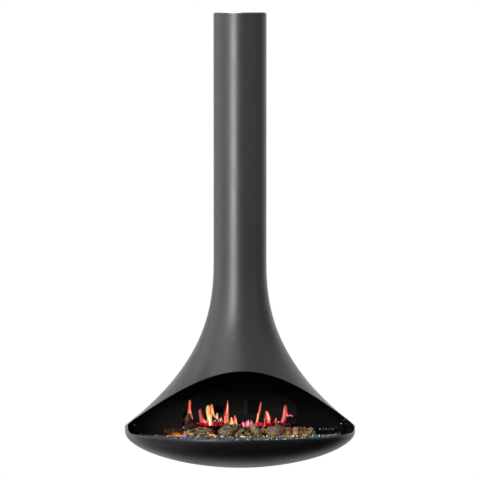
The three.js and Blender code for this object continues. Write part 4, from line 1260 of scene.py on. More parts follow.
FLAME_TABLE: tuple[Flame, ...] = (
    Flame("crimson_left", Glow.CRIMSON, Course.TONGUE, 0.2, (
        (-103.6, 45.6, 86.9), (-107, 42.5, 102.8), (-110.4, 39.5, 111.1), (-104.5, 35.7, 96.4),
        (-100, 32.7, 82.8), (-98.9, 29.7, 66.2),
    )),
    Flame("crimson_left_tail", Glow.CRIMSON, Course.TONGUE, 0, (
        (-167.1, 44.8, 6.8), (-158.8, 41, 18.9), (-151.6, 37.2, 21.2),
    )),
    Flame("crimson_right", Glow.CRIMSON, Course.TONGUE, -0.6, (
        (99.8, 43.3, 50.7), (108.9, 40.3, 74.8), (110.6, 35.7, 78.3), (111.1, 31.2, 73.3),
        (108.1, 27.8, 56.7),
    )),
    Flame("crimson_far", Glow.CRIMSON_DIM, Course.TONGUE, -0.4, (
        (172.4, 41.4, 34), (179, 36.5, 43.5), (180.7, 32, 35.5), (175.4, 23.7, 12.9),
    )),
    Flame("haze_right", Glow.CRIMSON_DIM, Course.TONGUE, 0.5, (
        (143.3, 59.1, 4.5), (139.1, 52.3, 12.9), (134.2, 45.6, 19.7), (131.9, 39.5, 24.2),
    )),
    Flame("left_spike", Glow.SALMON, Course.TONGUE, 0.1, (
        (-182.4, 130.9, 2.6), (-183.3, 124.1, 7.6), (-183.7, 112.8, 9.1), (-184.3, 101.4, 9.5),
        (-184.7, 90.1, 11), (-185.4, 82.5, 12.5), (-187.3, 76.5, 10.2), (-190.7, 69.7, 3.4),
    )),
    Flame("left_leg", Glow.SALMON, Course.SWEEP, 0, (
        (-182.2, 92, 6), (-179.6, 80.7, 6.4), (-176.9, 69.3, 6.4), (-174.3, 58.4, 5.7),
        (-170.9, 49.7, 5.3), (-165.2, 43.3, 5.3), (-154.6, 39.1, 4.5),
    )),
    Flame("dusky_tongue", Glow.DUSKY, Course.TONGUE, -0.5, (
        (-142.1, 95.8, 3), (-143.5, 90.9, 7.9), (-143.6, 84.8, 11.3), (-142.1, 77.3, 12.1),
        (-140.4, 69.7, 13.2), (-138.5, 61.4, 14.7), (-136.1, 52.3, 17.4), (-133.4, 41, 18.1),
    )),
    Flame("dusky_foot", Glow.ORANGE, Course.SWEEP, -0.2, (
        (-132.7, 59.9, 2.6), (-129.7, 52.3, 6), (-125.9, 46.7, 9.1), (-119.8, 45.9, 6.4),
        (-115.7, 53.1, 4.2), (-114.5, 62.9, 3.4), (-116.8, 74.2, 2.3),
    )),
    Flame("big_right", Glow.ORANGE, Course.TONGUE, 0.5, (
        (-99.2, 114.6, 2.6), (-100.7, 109, 7.9), (-101.3, 101.4, 12.1), (-100.7, 90.1, 14.7),
        (-101.3, 78.8, 13.6), (-103.2, 63.7, 8.3), (-103, 48.6, 7.9), (-102.4, 30.1, 12.1),
    )),
    Flame("big_left", Glow.YELLOW, Course.TONGUE, -0.3, (
        (-112.3, 110.5, 7.6), (-113, 101.4, 13.6), (-113.4, 90.1, 15.1), (-113.4, 78.8, 13.6),
        (-111.3, 67.5, 12.5), (-107.7, 52.3, 10.6), (-106, 30.1, 7.9),
    )),
    Flame("big_core", Glow.WHITE, Course.SWEEP, 0, (
        (-107.7, 76.9, 1.9), (-106.6, 61.8, 3.4), (-106.6, 46.7, 4.2), (-107, 30.5, 5.7),
    )),
    Flame("big_sweep", Glow.ORANGE, Course.SWEEP, -0.4, (
        (-98.3, 96.9, 3.8), (-94.1, 81.8, 6.4), (-89.6, 70.5, 7.6), (-82.8, 62.9, 7.9),
        (-77.1, 57.3, 5.3), (-73.3, 50.1, 3), (-71.4, 43.3, 3),
    )),
    Flame("sweep_tip", Glow.CREAM, Course.TONGUE, 0, (
        (-79.2, 80.3, 3.4), (-79.2, 75, 6.4), (-79.2, 67.5, 7.9), (-78.8, 59.1, 6.4),
    )),
    Flame("prong_left", Glow.CREAM, Course.TONGUE, 0.2, (
        (-65.8, 61, 3), (-66.2, 54.2, 6.8), (-65.6, 45.2, 2.6),
    )),
    Flame("prong_right", Glow.SALMON, Course.SWEEP, 0, (
        (-62.7, 64.1, 1.9), (-61.6, 57.6, 3.8), (-59.3, 51.6, 3), (-56.7, 45.6, 2.6),
    )),
    Flame("tall_spike", Glow.SALMON, Course.TONGUE, 0.5, (
        (-39.3, 133.1, 1.5), (-39.3, 120.3, 3.8), (-39.9, 109, 5.7), (-41, 97.6, 7.9),
        (-42, 90.1, 10.6), (-43.3, 82.5, 13.2), (-44.2, 76.5, 15.9), (-44.6, 67.5, 16.6),
        (-44.2, 56.1, 16.6), (-44.4, 48.6, 17.8), (-45.5, 38.8, 23.1),
    )),
    Flame("spike_core", Glow.YELLOW, Course.SWEEP, 0, (
        (-38.6, 114.6, 1.9), (-38.9, 103.3, 3.4), (-40.1, 90.1, 3), (-41.6, 75, 1.9),
    )),
    Flame("spike_foot", Glow.ORANGE, Course.SWEEP, 0, (
        (-49.5, 69.3, 1.9), (-49.1, 58, 3.4), (-48.8, 46.7, 4.9), (-48, 38.8, 6),
    )),
    Flame("yellow_pair_left", Glow.YELLOW, Course.TONGUE, 0.5, (
        (-24.6, 64.1, 2.3), (-24.6, 58, 6.8), (-24.8, 52.3, 8.7), (-24.9, 44.8, 12.1),
        (-27.2, 33.9, 18.9),
    )),
    Flame("yellow_pair_right", Glow.SALMON, Course.TONGUE, -0.2, (
        (-10.8, 70.8, 2.6), (-11, 65.6, 7.6), (-10.6, 58, 9.1), (-10.8, 48.6, 12.5),
        (-10.8, 40.3, 16.3), (-4.5, 32, 9.8),
    )),
    Flame("pair_core", Glow.YELLOW, Course.SWEEP, 0, (
        (-7.6, 61.4, 1.5), (-6.8, 51.6, 3.4), (-5.3, 41.8, 4.2), (-1.9, 32.3, 3.4),
    )),
    Flame("pink_dot", Glow.PINK, Course.TONGUE, 0, (
        (4.9, 34.2, 1.5), (5.1, 31.6, 4.9), (5.1, 28.6, 1.9),
    )),
    Flame("lilac_spot", Glow.LILAC, Course.TONGUE, 0, (
        (-88.1, 52.3, 7.6), (-88.1, 50.1, 11.3), (-88.1, 47.4, 7.6),
    )),
    Flame("cluster_foot", Glow.PINK, Course.TONGUE, 0, (
        (37.1, 45.6, 34), (37.1, 38.7, 42), (36.8, 33, 38), (36.3, 26.4, 33),
    )),
    Flame("strand_1", Glow.PINK, Course.SWEEP, 0, (
        (17.5, 46.5, 3), (19, 38, 6), (21, 27.5, 5),
    )),
    Flame("strand_2", Glow.CRIMSON, Course.SWEEP, 0, (
        (27, 48.5, 3), (26.5, 39, 6.5), (26.5, 27, 6),
    )),
    Flame("strand_3", Glow.PINK, Course.SWEEP, 0, (
        (32.5, 48.5, 1.9), (32, 40, 3.8), (31.5, 30, 4.2),
    )),
    Flame("strand_4", Glow.PINK, Course.SWEEP, 0, (
        (36, 51.5, 3), (35.5, 42, 5.5), (35.5, 27, 5.5),
    )),
    Flame("strand_5", Glow.CRIMSON, Course.SWEEP, 0, (
        (46, 49.5, 1.9), (45.5, 41, 4.6), (45.5, 27.5, 4.6),
    )),
    Flame("strand_6", Glow.PINK, Course.SWEEP, 0, (
        (57, 48.5, 3), (55.5, 39.5, 5), (54, 28, 5.5),
    )),
    Flame("cluster_lilac", Glow.LILAC, Course.SWEEP, 0, (
        (21.2, 43.3, 1.9), (21.9, 35.7, 4.5), (22.7, 26.7, 3.8),
    )),
    Flame("cluster_cream", Glow.CREAM, Course.SWEEP, 0, (
        (40.5, 52.7, 2.6), (40.5, 44.8, 4.9), (40.8, 32.7, 3.4),
    )),
    Flame("cluster_pale", Glow.LILAC, Course.SWEEP, 0, (
        (51.4, 52.7, 1.9), (50.7, 42.5, 3), (49.9, 28.9, 4.5),
    )),
    Flame("leaning_spike", Glow.SALMON, Course.TONGUE, -0.1, (
        (88.3, 122.6, 2.6), (87.3, 112.8, 5.3), (85.2, 101.4, 6.4), (83.2, 90.1, 7.6),
        (80.7, 78.8, 7.9), (78.3, 67.5, 7.6), (76, 56.1, 7.6), (73.5, 46.7, 8.7), (69.2, 36.9, 12.1),
    )),
    Flame("leaning_core", Glow.YELLOW, Course.SWEEP, 0, (
        (77.1, 80.3, 1.9), (76, 69.3, 3.4), (74.5, 58.4, 3.4), (72.2, 46.7, 2.3),
    )),
    Flame("middle_flame", Glow.SALMON, Course.TONGUE, 0.25, (
        (108.1, 87.8, 4.5), (110.2, 82.5, 10.2), (111.5, 75, 13.6), (112.5, 67.5, 17.8),
        (113.4, 61.4, 20.4), (115.1, 54.6, 19.3), (116.2, 47.1, 16.3), (116.2, 38, 10.2),
    )),
    Flame("middle_core", Glow.YELLOW, Course.SWEEP, 0, (
        (109.6, 84.8, 2.3), (113, 76.5, 4.5), (115.7, 67.5, 4.9), (117.6, 57.6, 3.8),
        (118.3, 50.8, 2.3),
    )),
    Flame("thin_pale", Glow.CREAM_DIM, Course.TONGUE, 0, (
        (102.4, 59.9, 3.8), (102.6, 54.6, 6.4), (102.1, 47.1, 4.5), (101.3, 39.5, 3),
    )),
    Flame("thin_foot", Glow.SALMON, Course.SWEEP, 0, (
        (101.7, 45.6, 2.6), (101.3, 35.7, 3.4), (100.2, 25.9, 7.2),
    )),
    Flame("small_right", Glow.SALMON, Course.TONGUE, 0.1, (
        (146.1, 60.3, 3.4), (145.5, 54.6, 6), (144.8, 48.6, 6), (144, 41, 6),
    )),
    Flame("pale_bead", Glow.ORANGE, Course.TONGUE, 0, (
        (155.8, 47.8, 3.8), (155.4, 44.8, 7.6), (155.8, 41.4, 5.3),
    )),
    Flame("right_flame", Glow.DUSKY, Course.TONGUE, -0.2, (
        (180.9, 110.9, 3.4), (181.3, 105.2, 7.9), (181.3, 97.6, 11.7), (181.3, 90.1, 14),
        (181.3, 82.5, 16.3), (181.3, 75, 18.5), (179, 67.5, 17.8), (176.7, 59.9, 17),
        (174.5, 52.3, 17), (172.2, 46.3, 16.3), (169.5, 39.5, 14),
    )),
    Flame("right_streak", Glow.SALMON, Course.SWEEP, 0, (
        (177.7, 97.6, 1.9), (176.5, 82.5, 3.4), (175, 67.5, 3.4), (171.6, 52.3, 3.8), (168.6, 41, 5.3),
    )),
    Flame("right_tongue", Glow.SALMON, Course.SWEEP, -0.2, (
        (186.4, 77.3, 5.3), (189, 69.7, 8.3), (193.9, 68.2, 5.7), (199.2, 70.1, 4.5),
        (203.8, 69.3, 5.3), (207.9, 66.3, 4.2), (211.3, 65.9, 1.9),
    )),
)


@dataclass
class FlamePicture(Maker):
    """The picture of flames that the glass shows, one soft-edged strip for each tongue."""

    bed_level: float = -1606.0
    glass_face: float = 159.02
    layer: float = 0.012
    rows_per_step: int = 5
    columns: int = 31
    spread: float = 1.3
    heart_width: float = 0.62
    edge_powers: Pair = (2.4, 0.8)

    def strip(self, flame: Flame) -> tuple[Array, Array]:
        """Lays a grid along a tongue and paints it from heart to rim.

        The grid is centre(t) + s * width(t) / 2 * side(t), s from -1 to 1, with side level or
        square to the path. The light is (1 - |s|^2.4)^0.8 of the mix between rim and heart; the
        red ones are broken up by upright streaks.

        Args:
            flame: The tongue.

        Returns:
            Points and paint, rows by columns.
        """
        rows = self.rows_per_step * (len(flame.rows) - 1) + 1
        curve = ease(flame.rows, rows)
        centre, width = curve[:, :2], np.maximum(curve[:, 2], 0.4) * self.spread
        ahead = np.gradient(centre, axis=0)
        ahead /= np.maximum(np.linalg.norm(ahead, axis=1, keepdims=True), 1e-9)
        side = np.stack([-ahead[:, 1], ahead[:, 0]], axis=-1)
        if flame.course is Course.TONGUE:
            side = np.tile([1.0, 0.0], (rows, 1))
        across = np.linspace(-1.0, 1.0, self.columns)
        flat = centre[:, None] + across[None, :, None] * side[:, None] * width[:, None, None] / 2
        down = np.linspace(0.0, 1.0, rows)[:, None]
        ends = smooth_share(down, 0.0, 0.1) * smooth_share(1.0 - down, 0.0, 0.08)
        inner, outer = self.edge_powers
        edge = np.clip(1.0 - np.abs(across[None]) ** inner, 0.0, 1.0) ** outer
        if flame.glow in (Glow.CRIMSON, Glow.CRIMSON_DIM, Glow.PINK):
            upright = np.stack([flat[..., 0], 0.3 * flat[..., 1], 0.0 * flat[..., 0]], axis=-1)
            streak = rough_noise(upright, 7.0, SEED + 5, 3)
            edge = edge * np.clip(0.85 + 1.7 * streak, 0.25, 1.4)
        off_heart = (across[None] - flame.heart) / self.heart_width
        warmth = np.exp(-(off_heart**2)) * (0.75 + 0.25 * down)
        colour = flame.glow.rim + (flame.glow.heart - flame.glow.rim) * warmth[..., None]
        paint = np.ones((rows, self.columns, 4))
        paint[..., :3] = colour * (edge * np.maximum(ends, 0.02))[..., None]
        return flat, paint

    def build(self) -> None:
        """Stacks the strips just in front of the glass."""
        form = Form()
        for layer, flame in enumerate(FLAME_TABLE):
            LOG.debug("flame %s", flame.name)
            flat, paint = self.strip(flame)
            depth = np.full(flat.shape[:2], self.glass_face - self.layer * layer)
            points = np.stack([flat[..., 0], depth, self.bed_level + flat[..., 1]], axis=-1)
            form.grid(points, wrap=False, paint=paint)
        thing = form.mesh("flame_picture", outward=False)
        self.dress(thing, FLAMES, "smoked_mirror")


# -------- bed


BLOCK_CORNERS = np.array(list(np.ndindex(2, 2, 2))) * 2.0 - 1.0
BLOCK_FACES = np.array(
    [[0, 1, 3, 2], [4, 6, 7, 5], [0, 4, 5, 1], [2, 3, 7, 6], [0, 2, 6, 4], [1, 5, 7, 3]]
)


@dataclass(frozen=True)
class BedSizes:
    """Sizes of the bed in millimetres."""

    top: float = -1605.7
    under: float = -1631.0
    front_radius: float = 411.0
    half_width: float = 391.0
    back: float = -34.0
    back_rise: float = 120.0
    ember_radius: float = 415.0
    under_radius: float = 384.0
    ember_back: float = 150.5
    lump: float = 3.2
    chips: int = 1700
    chip_size: float = 5.4
    chip_layer: float = 0.6
    chip_lift: float = 2.4
    noted_lift: float = 3.6
    side_margin: float = 6.0
    front_margin: float = 7.0
    back_margin: float = 5.0
    narrowest: float = 12.0


@dataclass(frozen=True)
class Lit:
    """A glowing place on the bed: centre, half widths, light and how high its embers are heaped."""

    across: float
    depth: float
    half_across: float
    half_depth: float
    light: Colour
    heap: float = 0.0

    def share(self, points: Array) -> Array:
        """Bell curve in x and y round the place, 1 in its middle.

        Args:
            points: Places, the last axis holds x, y, z.

        Returns:
            The share at each place.
        """
        across = (points[..., 0] - self.across) / self.half_across
        depth = (points[..., 1] - self.depth) / self.half_depth
        return np.exp(-(across**2 + depth**2))


LIT_PLACES: tuple[Lit, ...] = (
    Lit(-268.0, 70.0, 20.0, 46.0, (0.16, 0.022, 0.012)),
    Lit(-229.0, 70.0, 23.0, 46.0, (1.5, 0.42, 0.07), 5.0),
    Lit(-104.0, 50.0, 17.0, 26.0, (2.0, 0.6, 0.09), 15.0),
    Lit(-172.0, -30.0, 16.0, 34.0, (0.9, 0.42, 0.07)),
    Lit(80.0, -20.0, 12.0, 26.0, (0.9, 0.36, 0.08)),
    Lit(186.0, 32.0, 26.0, 34.0, (0.7, 0.26, 0.06)),
    Lit(222.0, 10.0, 22.0, 24.0, (1.5, 0.52, 0.08), 8.0),
    Lit(20.0, 60.0, 40.0, 30.0, (0.3, 0.1, 0.02)),
)


def bed_light(points: Array) -> Array:
    """Adds the glow of all lit places at the given points by a bell curve in x and y.

    Args:
        points: Places, the last axis holds x, y, z.

    Returns:
        Painted values, red, green, blue and 1.
    """
    paint = np.zeros((*points.shape[:-1], 4))
    paint[..., 3] = 1.0
    for lit in LIT_PLACES:
        paint[..., :3] += lit.share(points)[..., None] * np.array(lit.light)
    return paint


class Hue(Enum):
    """Colours of the crushed glass."""

    NAVY = (0.03, 0.05, 0.3)
    BLUE = (0.12, 0.2, 0.75)
    LAVENDER = (0.38, 0.36, 0.72)
    TEAL = (0.04, 0.27, 0.3)
    CYAN = (0.45, 0.85, 0.95)
    MINT = (0.55, 0.85, 0.68)
    CREAM = (0.85, 0.78, 0.58)
    YELLOW = (0.85, 0.66, 0.12)
    AMBER = (0.85, 0.3, 0.03)
    PEACH = (0.85, 0.5, 0.36)
    GREEN = (0.3, 0.5, 0.1)
    GREY = (0.3, 0.33, 0.36)
    CLEAR = (0.9, 0.94, 0.96)


# how often each hue lies at the left, in the middle and at the right, in the order of Hue
HUE_ODDS: tuple[tuple[float, ...], ...] = (
    (0.25, 0.25, 0.18, 0.08, 0.03, 0.03, 0.03, 0.02, 0.05, 0.03, 0.01, 0.02, 0.02),
    (0.06, 0.07, 0.06, 0.26, 0.14, 0.12, 0.05, 0.07, 0.04, 0.01, 0.07, 0.01, 0.04),
    (0.05, 0.06, 0.08, 0.17, 0.1, 0.24, 0.12, 0.03, 0.05, 0.02, 0.02, 0.01, 0.05),
)


@dataclass(frozen=True)
class Chip:
    """A chip that stands out in the picture: place across, depth, width, height, hue and light."""

    across: float
    depth: float
    width: float
    height: float
    hue: Hue
    lit: float


NOTED_CHIPS: tuple[Chip, ...] = (
    Chip(-211.6, -29.8, 16.4, 5.5, Hue.BLUE, 0.35),
    Chip(-201.8, -31.6, 7.0, 4.7, Hue.NAVY, 0.30),
    Chip(-181.4, -46.3, 7.8, 3.9, Hue.PEACH, 0.45),
    Chip(-165.1, -46.3, 5.5, 3.9, Hue.BLUE, 0.40),
    Chip(-157.6, -36.9, 9.4, 4.7, Hue.AMBER, 0.90),
    Chip(-126.6, -38.7, 12.5, 4.7, Hue.TEAL, 0.40),
    Chip(-108.4, -46.3, 7.0, 3.9, Hue.NAVY, 0.20),
    Chip(-96.3, -39.6, 6.2, 4.7, Hue.CREAM, 0.45),
    Chip(-86.9, -46.3, 5.5, 3.9, Hue.CREAM, 0.25),
    Chip(-70.6, -39.9, 10.1, 5.6, Hue.CYAN, 0.85),
    Chip(-49.8, -77.0, 7.0, 3.1, Hue.NAVY, 0.80),
    Chip(-48.3, -40.0, 10.1, 3.9, Hue.TEAL, 0.35),
    Chip(-40.8, -59.5, 6.2, 3.9, Hue.GREEN, 0.60),
    Chip(-16.9, -40.0, 8.6, 5.5, Hue.CYAN, 0.85),
    Chip(3.8, -42.0, 10.1, 5.5, Hue.YELLOW, 0.80),
    Chip(12.5, -40.0, 7.0, 4.3, Hue.YELLOW, 0.35),
    Chip(24.6, -40.0, 7.8, 4.7, Hue.TEAL, 0.05),
    Chip(36.0, -40.0, 6.6, 4.3, Hue.AMBER, 0.35),
    Chip(38.2, -68.2, 7.8, 3.5, Hue.LAVENDER, 0.55),
    Chip(49.2, -40.0, 7.8, 4.7, Hue.TEAL, 0.30),
    Chip(66.2, -39.9, 6.2, 3.5, Hue.GREY, 0.30),
    Chip(86.2, -39.7, 9.4, 4.7, Hue.AMBER, 0.95),
    Chip(100.2, -39.5, 5.5, 5.6, Hue.YELLOW, 0.60),
    Chip(116.5, -39.1, 8.6, 4.3, Hue.MINT, 0.70),
    Chip(127.1, -38.7, 7.0, 4.7, Hue.TEAL, 0.10),
    Chip(145.6, -37.7, 7.8, 4.3, Hue.BLUE, 0.50),
    Chip(162.6, -46.3, 7.8, 3.9, Hue.GREY, 0.30),
    Chip(180.0, -34.7, 6.2, 3.9, Hue.AMBER, 0.40),
    Chip(182.6, -68.2, 6.2, 3.1, Hue.GREY, 0.35),
    Chip(198.5, -32.1, 13.3, 4.7, Hue.MINT, 0.75),
    Chip(214.0, -33.2, 5.8, 4.7, Hue.CLEAR, 0.80),
    Chip(225.0, -27.0, 7.0, 4.3, Hue.AMBER, 0.85),
    Chip(230.6, -46.3, 5.5, 3.9, Hue.CLEAR, 0.85),
    Chip(245.8, -21.5, 7.8, 4.3, Hue.MINT, 0.60),
    Chip(262.8, -15.8, 8.6, 3.9, Hue.TEAL, 0.40),
    Chip(276.0, -20.1, 7.8, 4.3, Hue.MINT, 0.55),
    Chip(288.1, -7.0, 7.0, 4.7, Hue.CLEAR, 0.60),
    Chip(298.7, -15.7, 7.8, 4.7, Hue.CYAN, 0.50),
    Chip(313.8, -11.3, 11.7, 3.9, Hue.LAVENDER, 0.45),
    Chip(330.8, -2.6, 9.4, 4.3, Hue.LAVENDER, 0.40),
    Chip(344.0, 6.2, 8.6, 4.7, Hue.CYAN, 0.50),
    Chip(356.5, 23.7, 6.2, 3.9, Hue.CLEAR, 0.75),
    Chip(-292.9, -2.6, 7.8, 3.9, Hue.LAVENDER, 0.30),
    Chip(-272.1, -12.1, 7.8, 4.3, Hue.MINT, 0.30),
    Chip(-249.4, -20.3, 7.8, 4.3, Hue.TEAL, 0.30),
    Chip(-230.5, -25.6, 6.2, 3.9, Hue.CLEAR, 0.40),
    Chip(-143.6, -50.7, 6.2, 3.5, Hue.CYAN, 0.40),
)


@dataclass
class Bed(Maker):
    """Ember bed and the crushed glass along its front."""

    sizes: BedSizes = BedSizes()

    def front_reach(self, across: Array, radius: float) -> Array:
        """Depth of the round front at a distance across: -sqrt(r*r - x*x)."""
        return -np.sqrt(np.maximum(radius**2 - across**2, 0.0))

    def embers(self) -> Piece:
        """Lumpy slab between the round front and the lining.

        The top is a grid over x and depth whose height is low noise under the bed level; a second
        flat layer closes it from below.

        Returns:
            The slab.
        """
        sizes = self.sizes
        rows, columns = 110, 190
        edge = math.sqrt(sizes.ember_radius**2 - sizes.ember_back**2) - 0.5
        across = np.linspace(-edge, edge, columns)
        share = np.linspace(0.0, 1.0, rows)[:, None]
        front = self.front_reach(across, sizes.ember_radius)[None]
        depth = front + (sizes.ember_back - front) * share
        wide = np.broadcast_to(across, depth.shape)
        flat = np.stack([wide, depth, np.zeros_like(depth)], axis=-1)
        rise = rough_noise(flat, 26.0, SEED + 3, 4)
        level = sizes.top - 0.5 - sizes.lump * smooth_share(rise, -0.6, 0.7)
        for lit in LIT_PLACES:
            level = level + lit.heap * lit.share(flat) * (0.8 + 0.5 * rise)
        top = np.stack([wide, depth, level], axis=-1)
        narrow = sizes.under_radius / sizes.ember_radius
        low = np.stack([wide * narrow, np.minimum(depth * narrow, sizes.ember_back)], axis=-1)
        base = np.concatenate([low, np.full_like(depth, sizes.under)[..., None]], axis=-1)
        ring = np.concatenate([top, base[::-1]], axis=0)
        paint = bed_light(ring)
        form = Form()
        form.grid(ring, wrap=False, ring=True, paint=paint)
        ends = np.concatenate([top[:, :1], base[:, :1]], axis=1)
        form.grid(ends, wrap=False, paint=bed_light(ends))
        ends = np.concatenate([top[:, -1:], base[:, -1:]], axis=1)
        form.grid(ends, wrap=False, paint=bed_light(ends))
        return form.mesh("ember_slab")

    def shard_points(self, middle: Array, size: Array, rng: np.random.Generator) -> Array:
        """Turns a crooked block of eight corners about a random axis for each chip.

        Args:
            middle: Chips by three.
            size: Half sizes, chips by three.
            rng: Seeded random numbers.

        Returns:
            Chips by eight corners by three.
        """
        count = len(middle)
        corner = BLOCK_CORNERS[None] * size[:, None] * rng.uniform(0.45, 1.0, (count, 8, 3))
        turn = rng.normal(size=(count, 3, 3))
        first = unit(turn[:, 0])
        second = np.cross(first, turn[:, 1])
        second = unit(second)
        third = np.cross(first, second)
        frame = np.stack([first, second, third], axis=1)
        return middle[:, None] + np.einsum("nij,njk->nik", corner, frame)

    def glass(self) -> Piece:
        """Crushed glass strewn in one loose layer, with the noted chips on top.

        Returns:
            The chips.
        """
        sizes = self.sizes
        rng = np.random.default_rng(SEED)
        across = rng.uniform(-1.0, 1.0, sizes.chips * 2) * (sizes.half_width - sizes.side_margin)
        front = self.front_reach(across, sizes.front_radius) + sizes.front_margin
        rise = sizes.back_rise * (across / sizes.half_width) ** 4
        back = sizes.back - sizes.back_margin + rise
        depth = front + (back - front) * rng.uniform(0.0, 1.0, len(across)) ** 0.7
        keep = back - front > sizes.narrowest
        across, depth, front = (part[keep][: sizes.chips] for part in (across, depth, front))
        count = len(across)
        size = sizes.chip_size * rng.uniform(0.55, 1.15, (count, 3)) * (1.0, 0.8, 0.62)
        level = sizes.top + sizes.chip_lift + rng.uniform(0.0, 1.0, count) * sizes.chip_layer
        middle = np.stack([across, depth, level], axis=-1)
        hues = np.array([hue.value for hue in Hue])
        zone = np.digitize(across + rng.normal(0.0, 30.0, count), (-110.0, 120.0))
        limits = np.cumsum(np.array(HUE_ODDS), axis=1) / np.sum(HUE_ODDS, axis=1)[:, None]
        pick = (limits[zone] < rng.uniform(0.0, 1.0, (count, 1))).sum(axis=1)
        chosen = hues[np.minimum(pick, len(hues) - 1)]
        chosen = chosen * rng.uniform(0.75, 1.1, (count, 1))
        # painted shade: the chips' glow fades towards the front, where the sill shades them
        near = smooth_share(depth - front, 0.0, 260.0)
        light = (0.005 + 0.3 * rng.uniform(0.0, 1.0, count) ** 8) * near
        chosen = chosen * (0.03 + 0.75 * rng.uniform(0.0, 1.0, count) ** 3.4)[:, None]
        # painted shade: chips at both ends of the bed are darkened to a tenth, where the shell's sides
        # shade them
        seen = smooth_share(across, -335.0, -285.0) * smooth_share(-across, -395.0, -340.0)
        chosen = chosen * (0.1 + 0.9 * seen)[:, None]
        points = self.shard_points(middle, size, rng)
        noted = NOTED_CHIPS
        rise = sizes.top + sizes.noted_lift
        spot = np.array([[chip.across, chip.depth, rise + chip.height / 2] for chip in noted])
        half = np.array([[chip.width / 2, 4.0, chip.height / 2] for chip in noted])
        wobble = rng.uniform(0.62, 1.0, (len(noted), 8, 3))
        extra = spot[:, None] + BLOCK_CORNERS[None] * half[:, None] * wobble
        points = np.concatenate([points, extra])
        shade = np.concatenate([chosen, np.array([chip.hue.value for chip in noted])])
        light = np.concatenate([light, np.array([chip.lit for chip in noted])])
        low = points[..., 2].min(axis=1)
        lift = np.maximum(sizes.top + 0.1 - low, 0.0)
        points[..., 2] += lift[:, None]
        paint = np.concatenate([np.clip(shade, 0.0, 1.0), light[:, None]], axis=1)
        form = Form()
        form.shards(points, BLOCK_FACES, paint)
        return form.mesh("glass_chips")

    def build(self) -> None:
        """Makes the ember slab and the chips."""
        slab = self.embers()
        soften(slab, 60.0)
        self.dress(slab, EMBER, "ember_resin", "ember_bed")
        chips = self.glass()
        self.dress(chips, CHIPS, "crushed_glass", "crushed_glass")


# -------- wood


@dataclass(frozen=True)
class Cut:
    """A flat cut through wood: a point on it and the way it faces."""

    point: Place
    way: Place


@dataclass(frozen=True)
class Branch:
    """One length of wood.

    Attributes:
        path: Rows of x, y, z and radius in millimetres.
        ridges: How many bark ridges run round it.
        rough: Height of the ridges and knots.
        flat: How far it is squashed from above, 1 for round.
        glow: Light caught on its underside.
        face: A flat cut that takes its front off.
        glow_span: Places across where the glow starts and is full.
    """

    path: tuple[tuple[float, float, float, float], ...]
    ridges: int = 9
    rough: float = 1.6
    flat: float = 1.0
    glow: Colour = (0.0, 0.0, 0.0)
    face: Cut | None = None
    glow_span: Pair = (-900.0, -800.0)


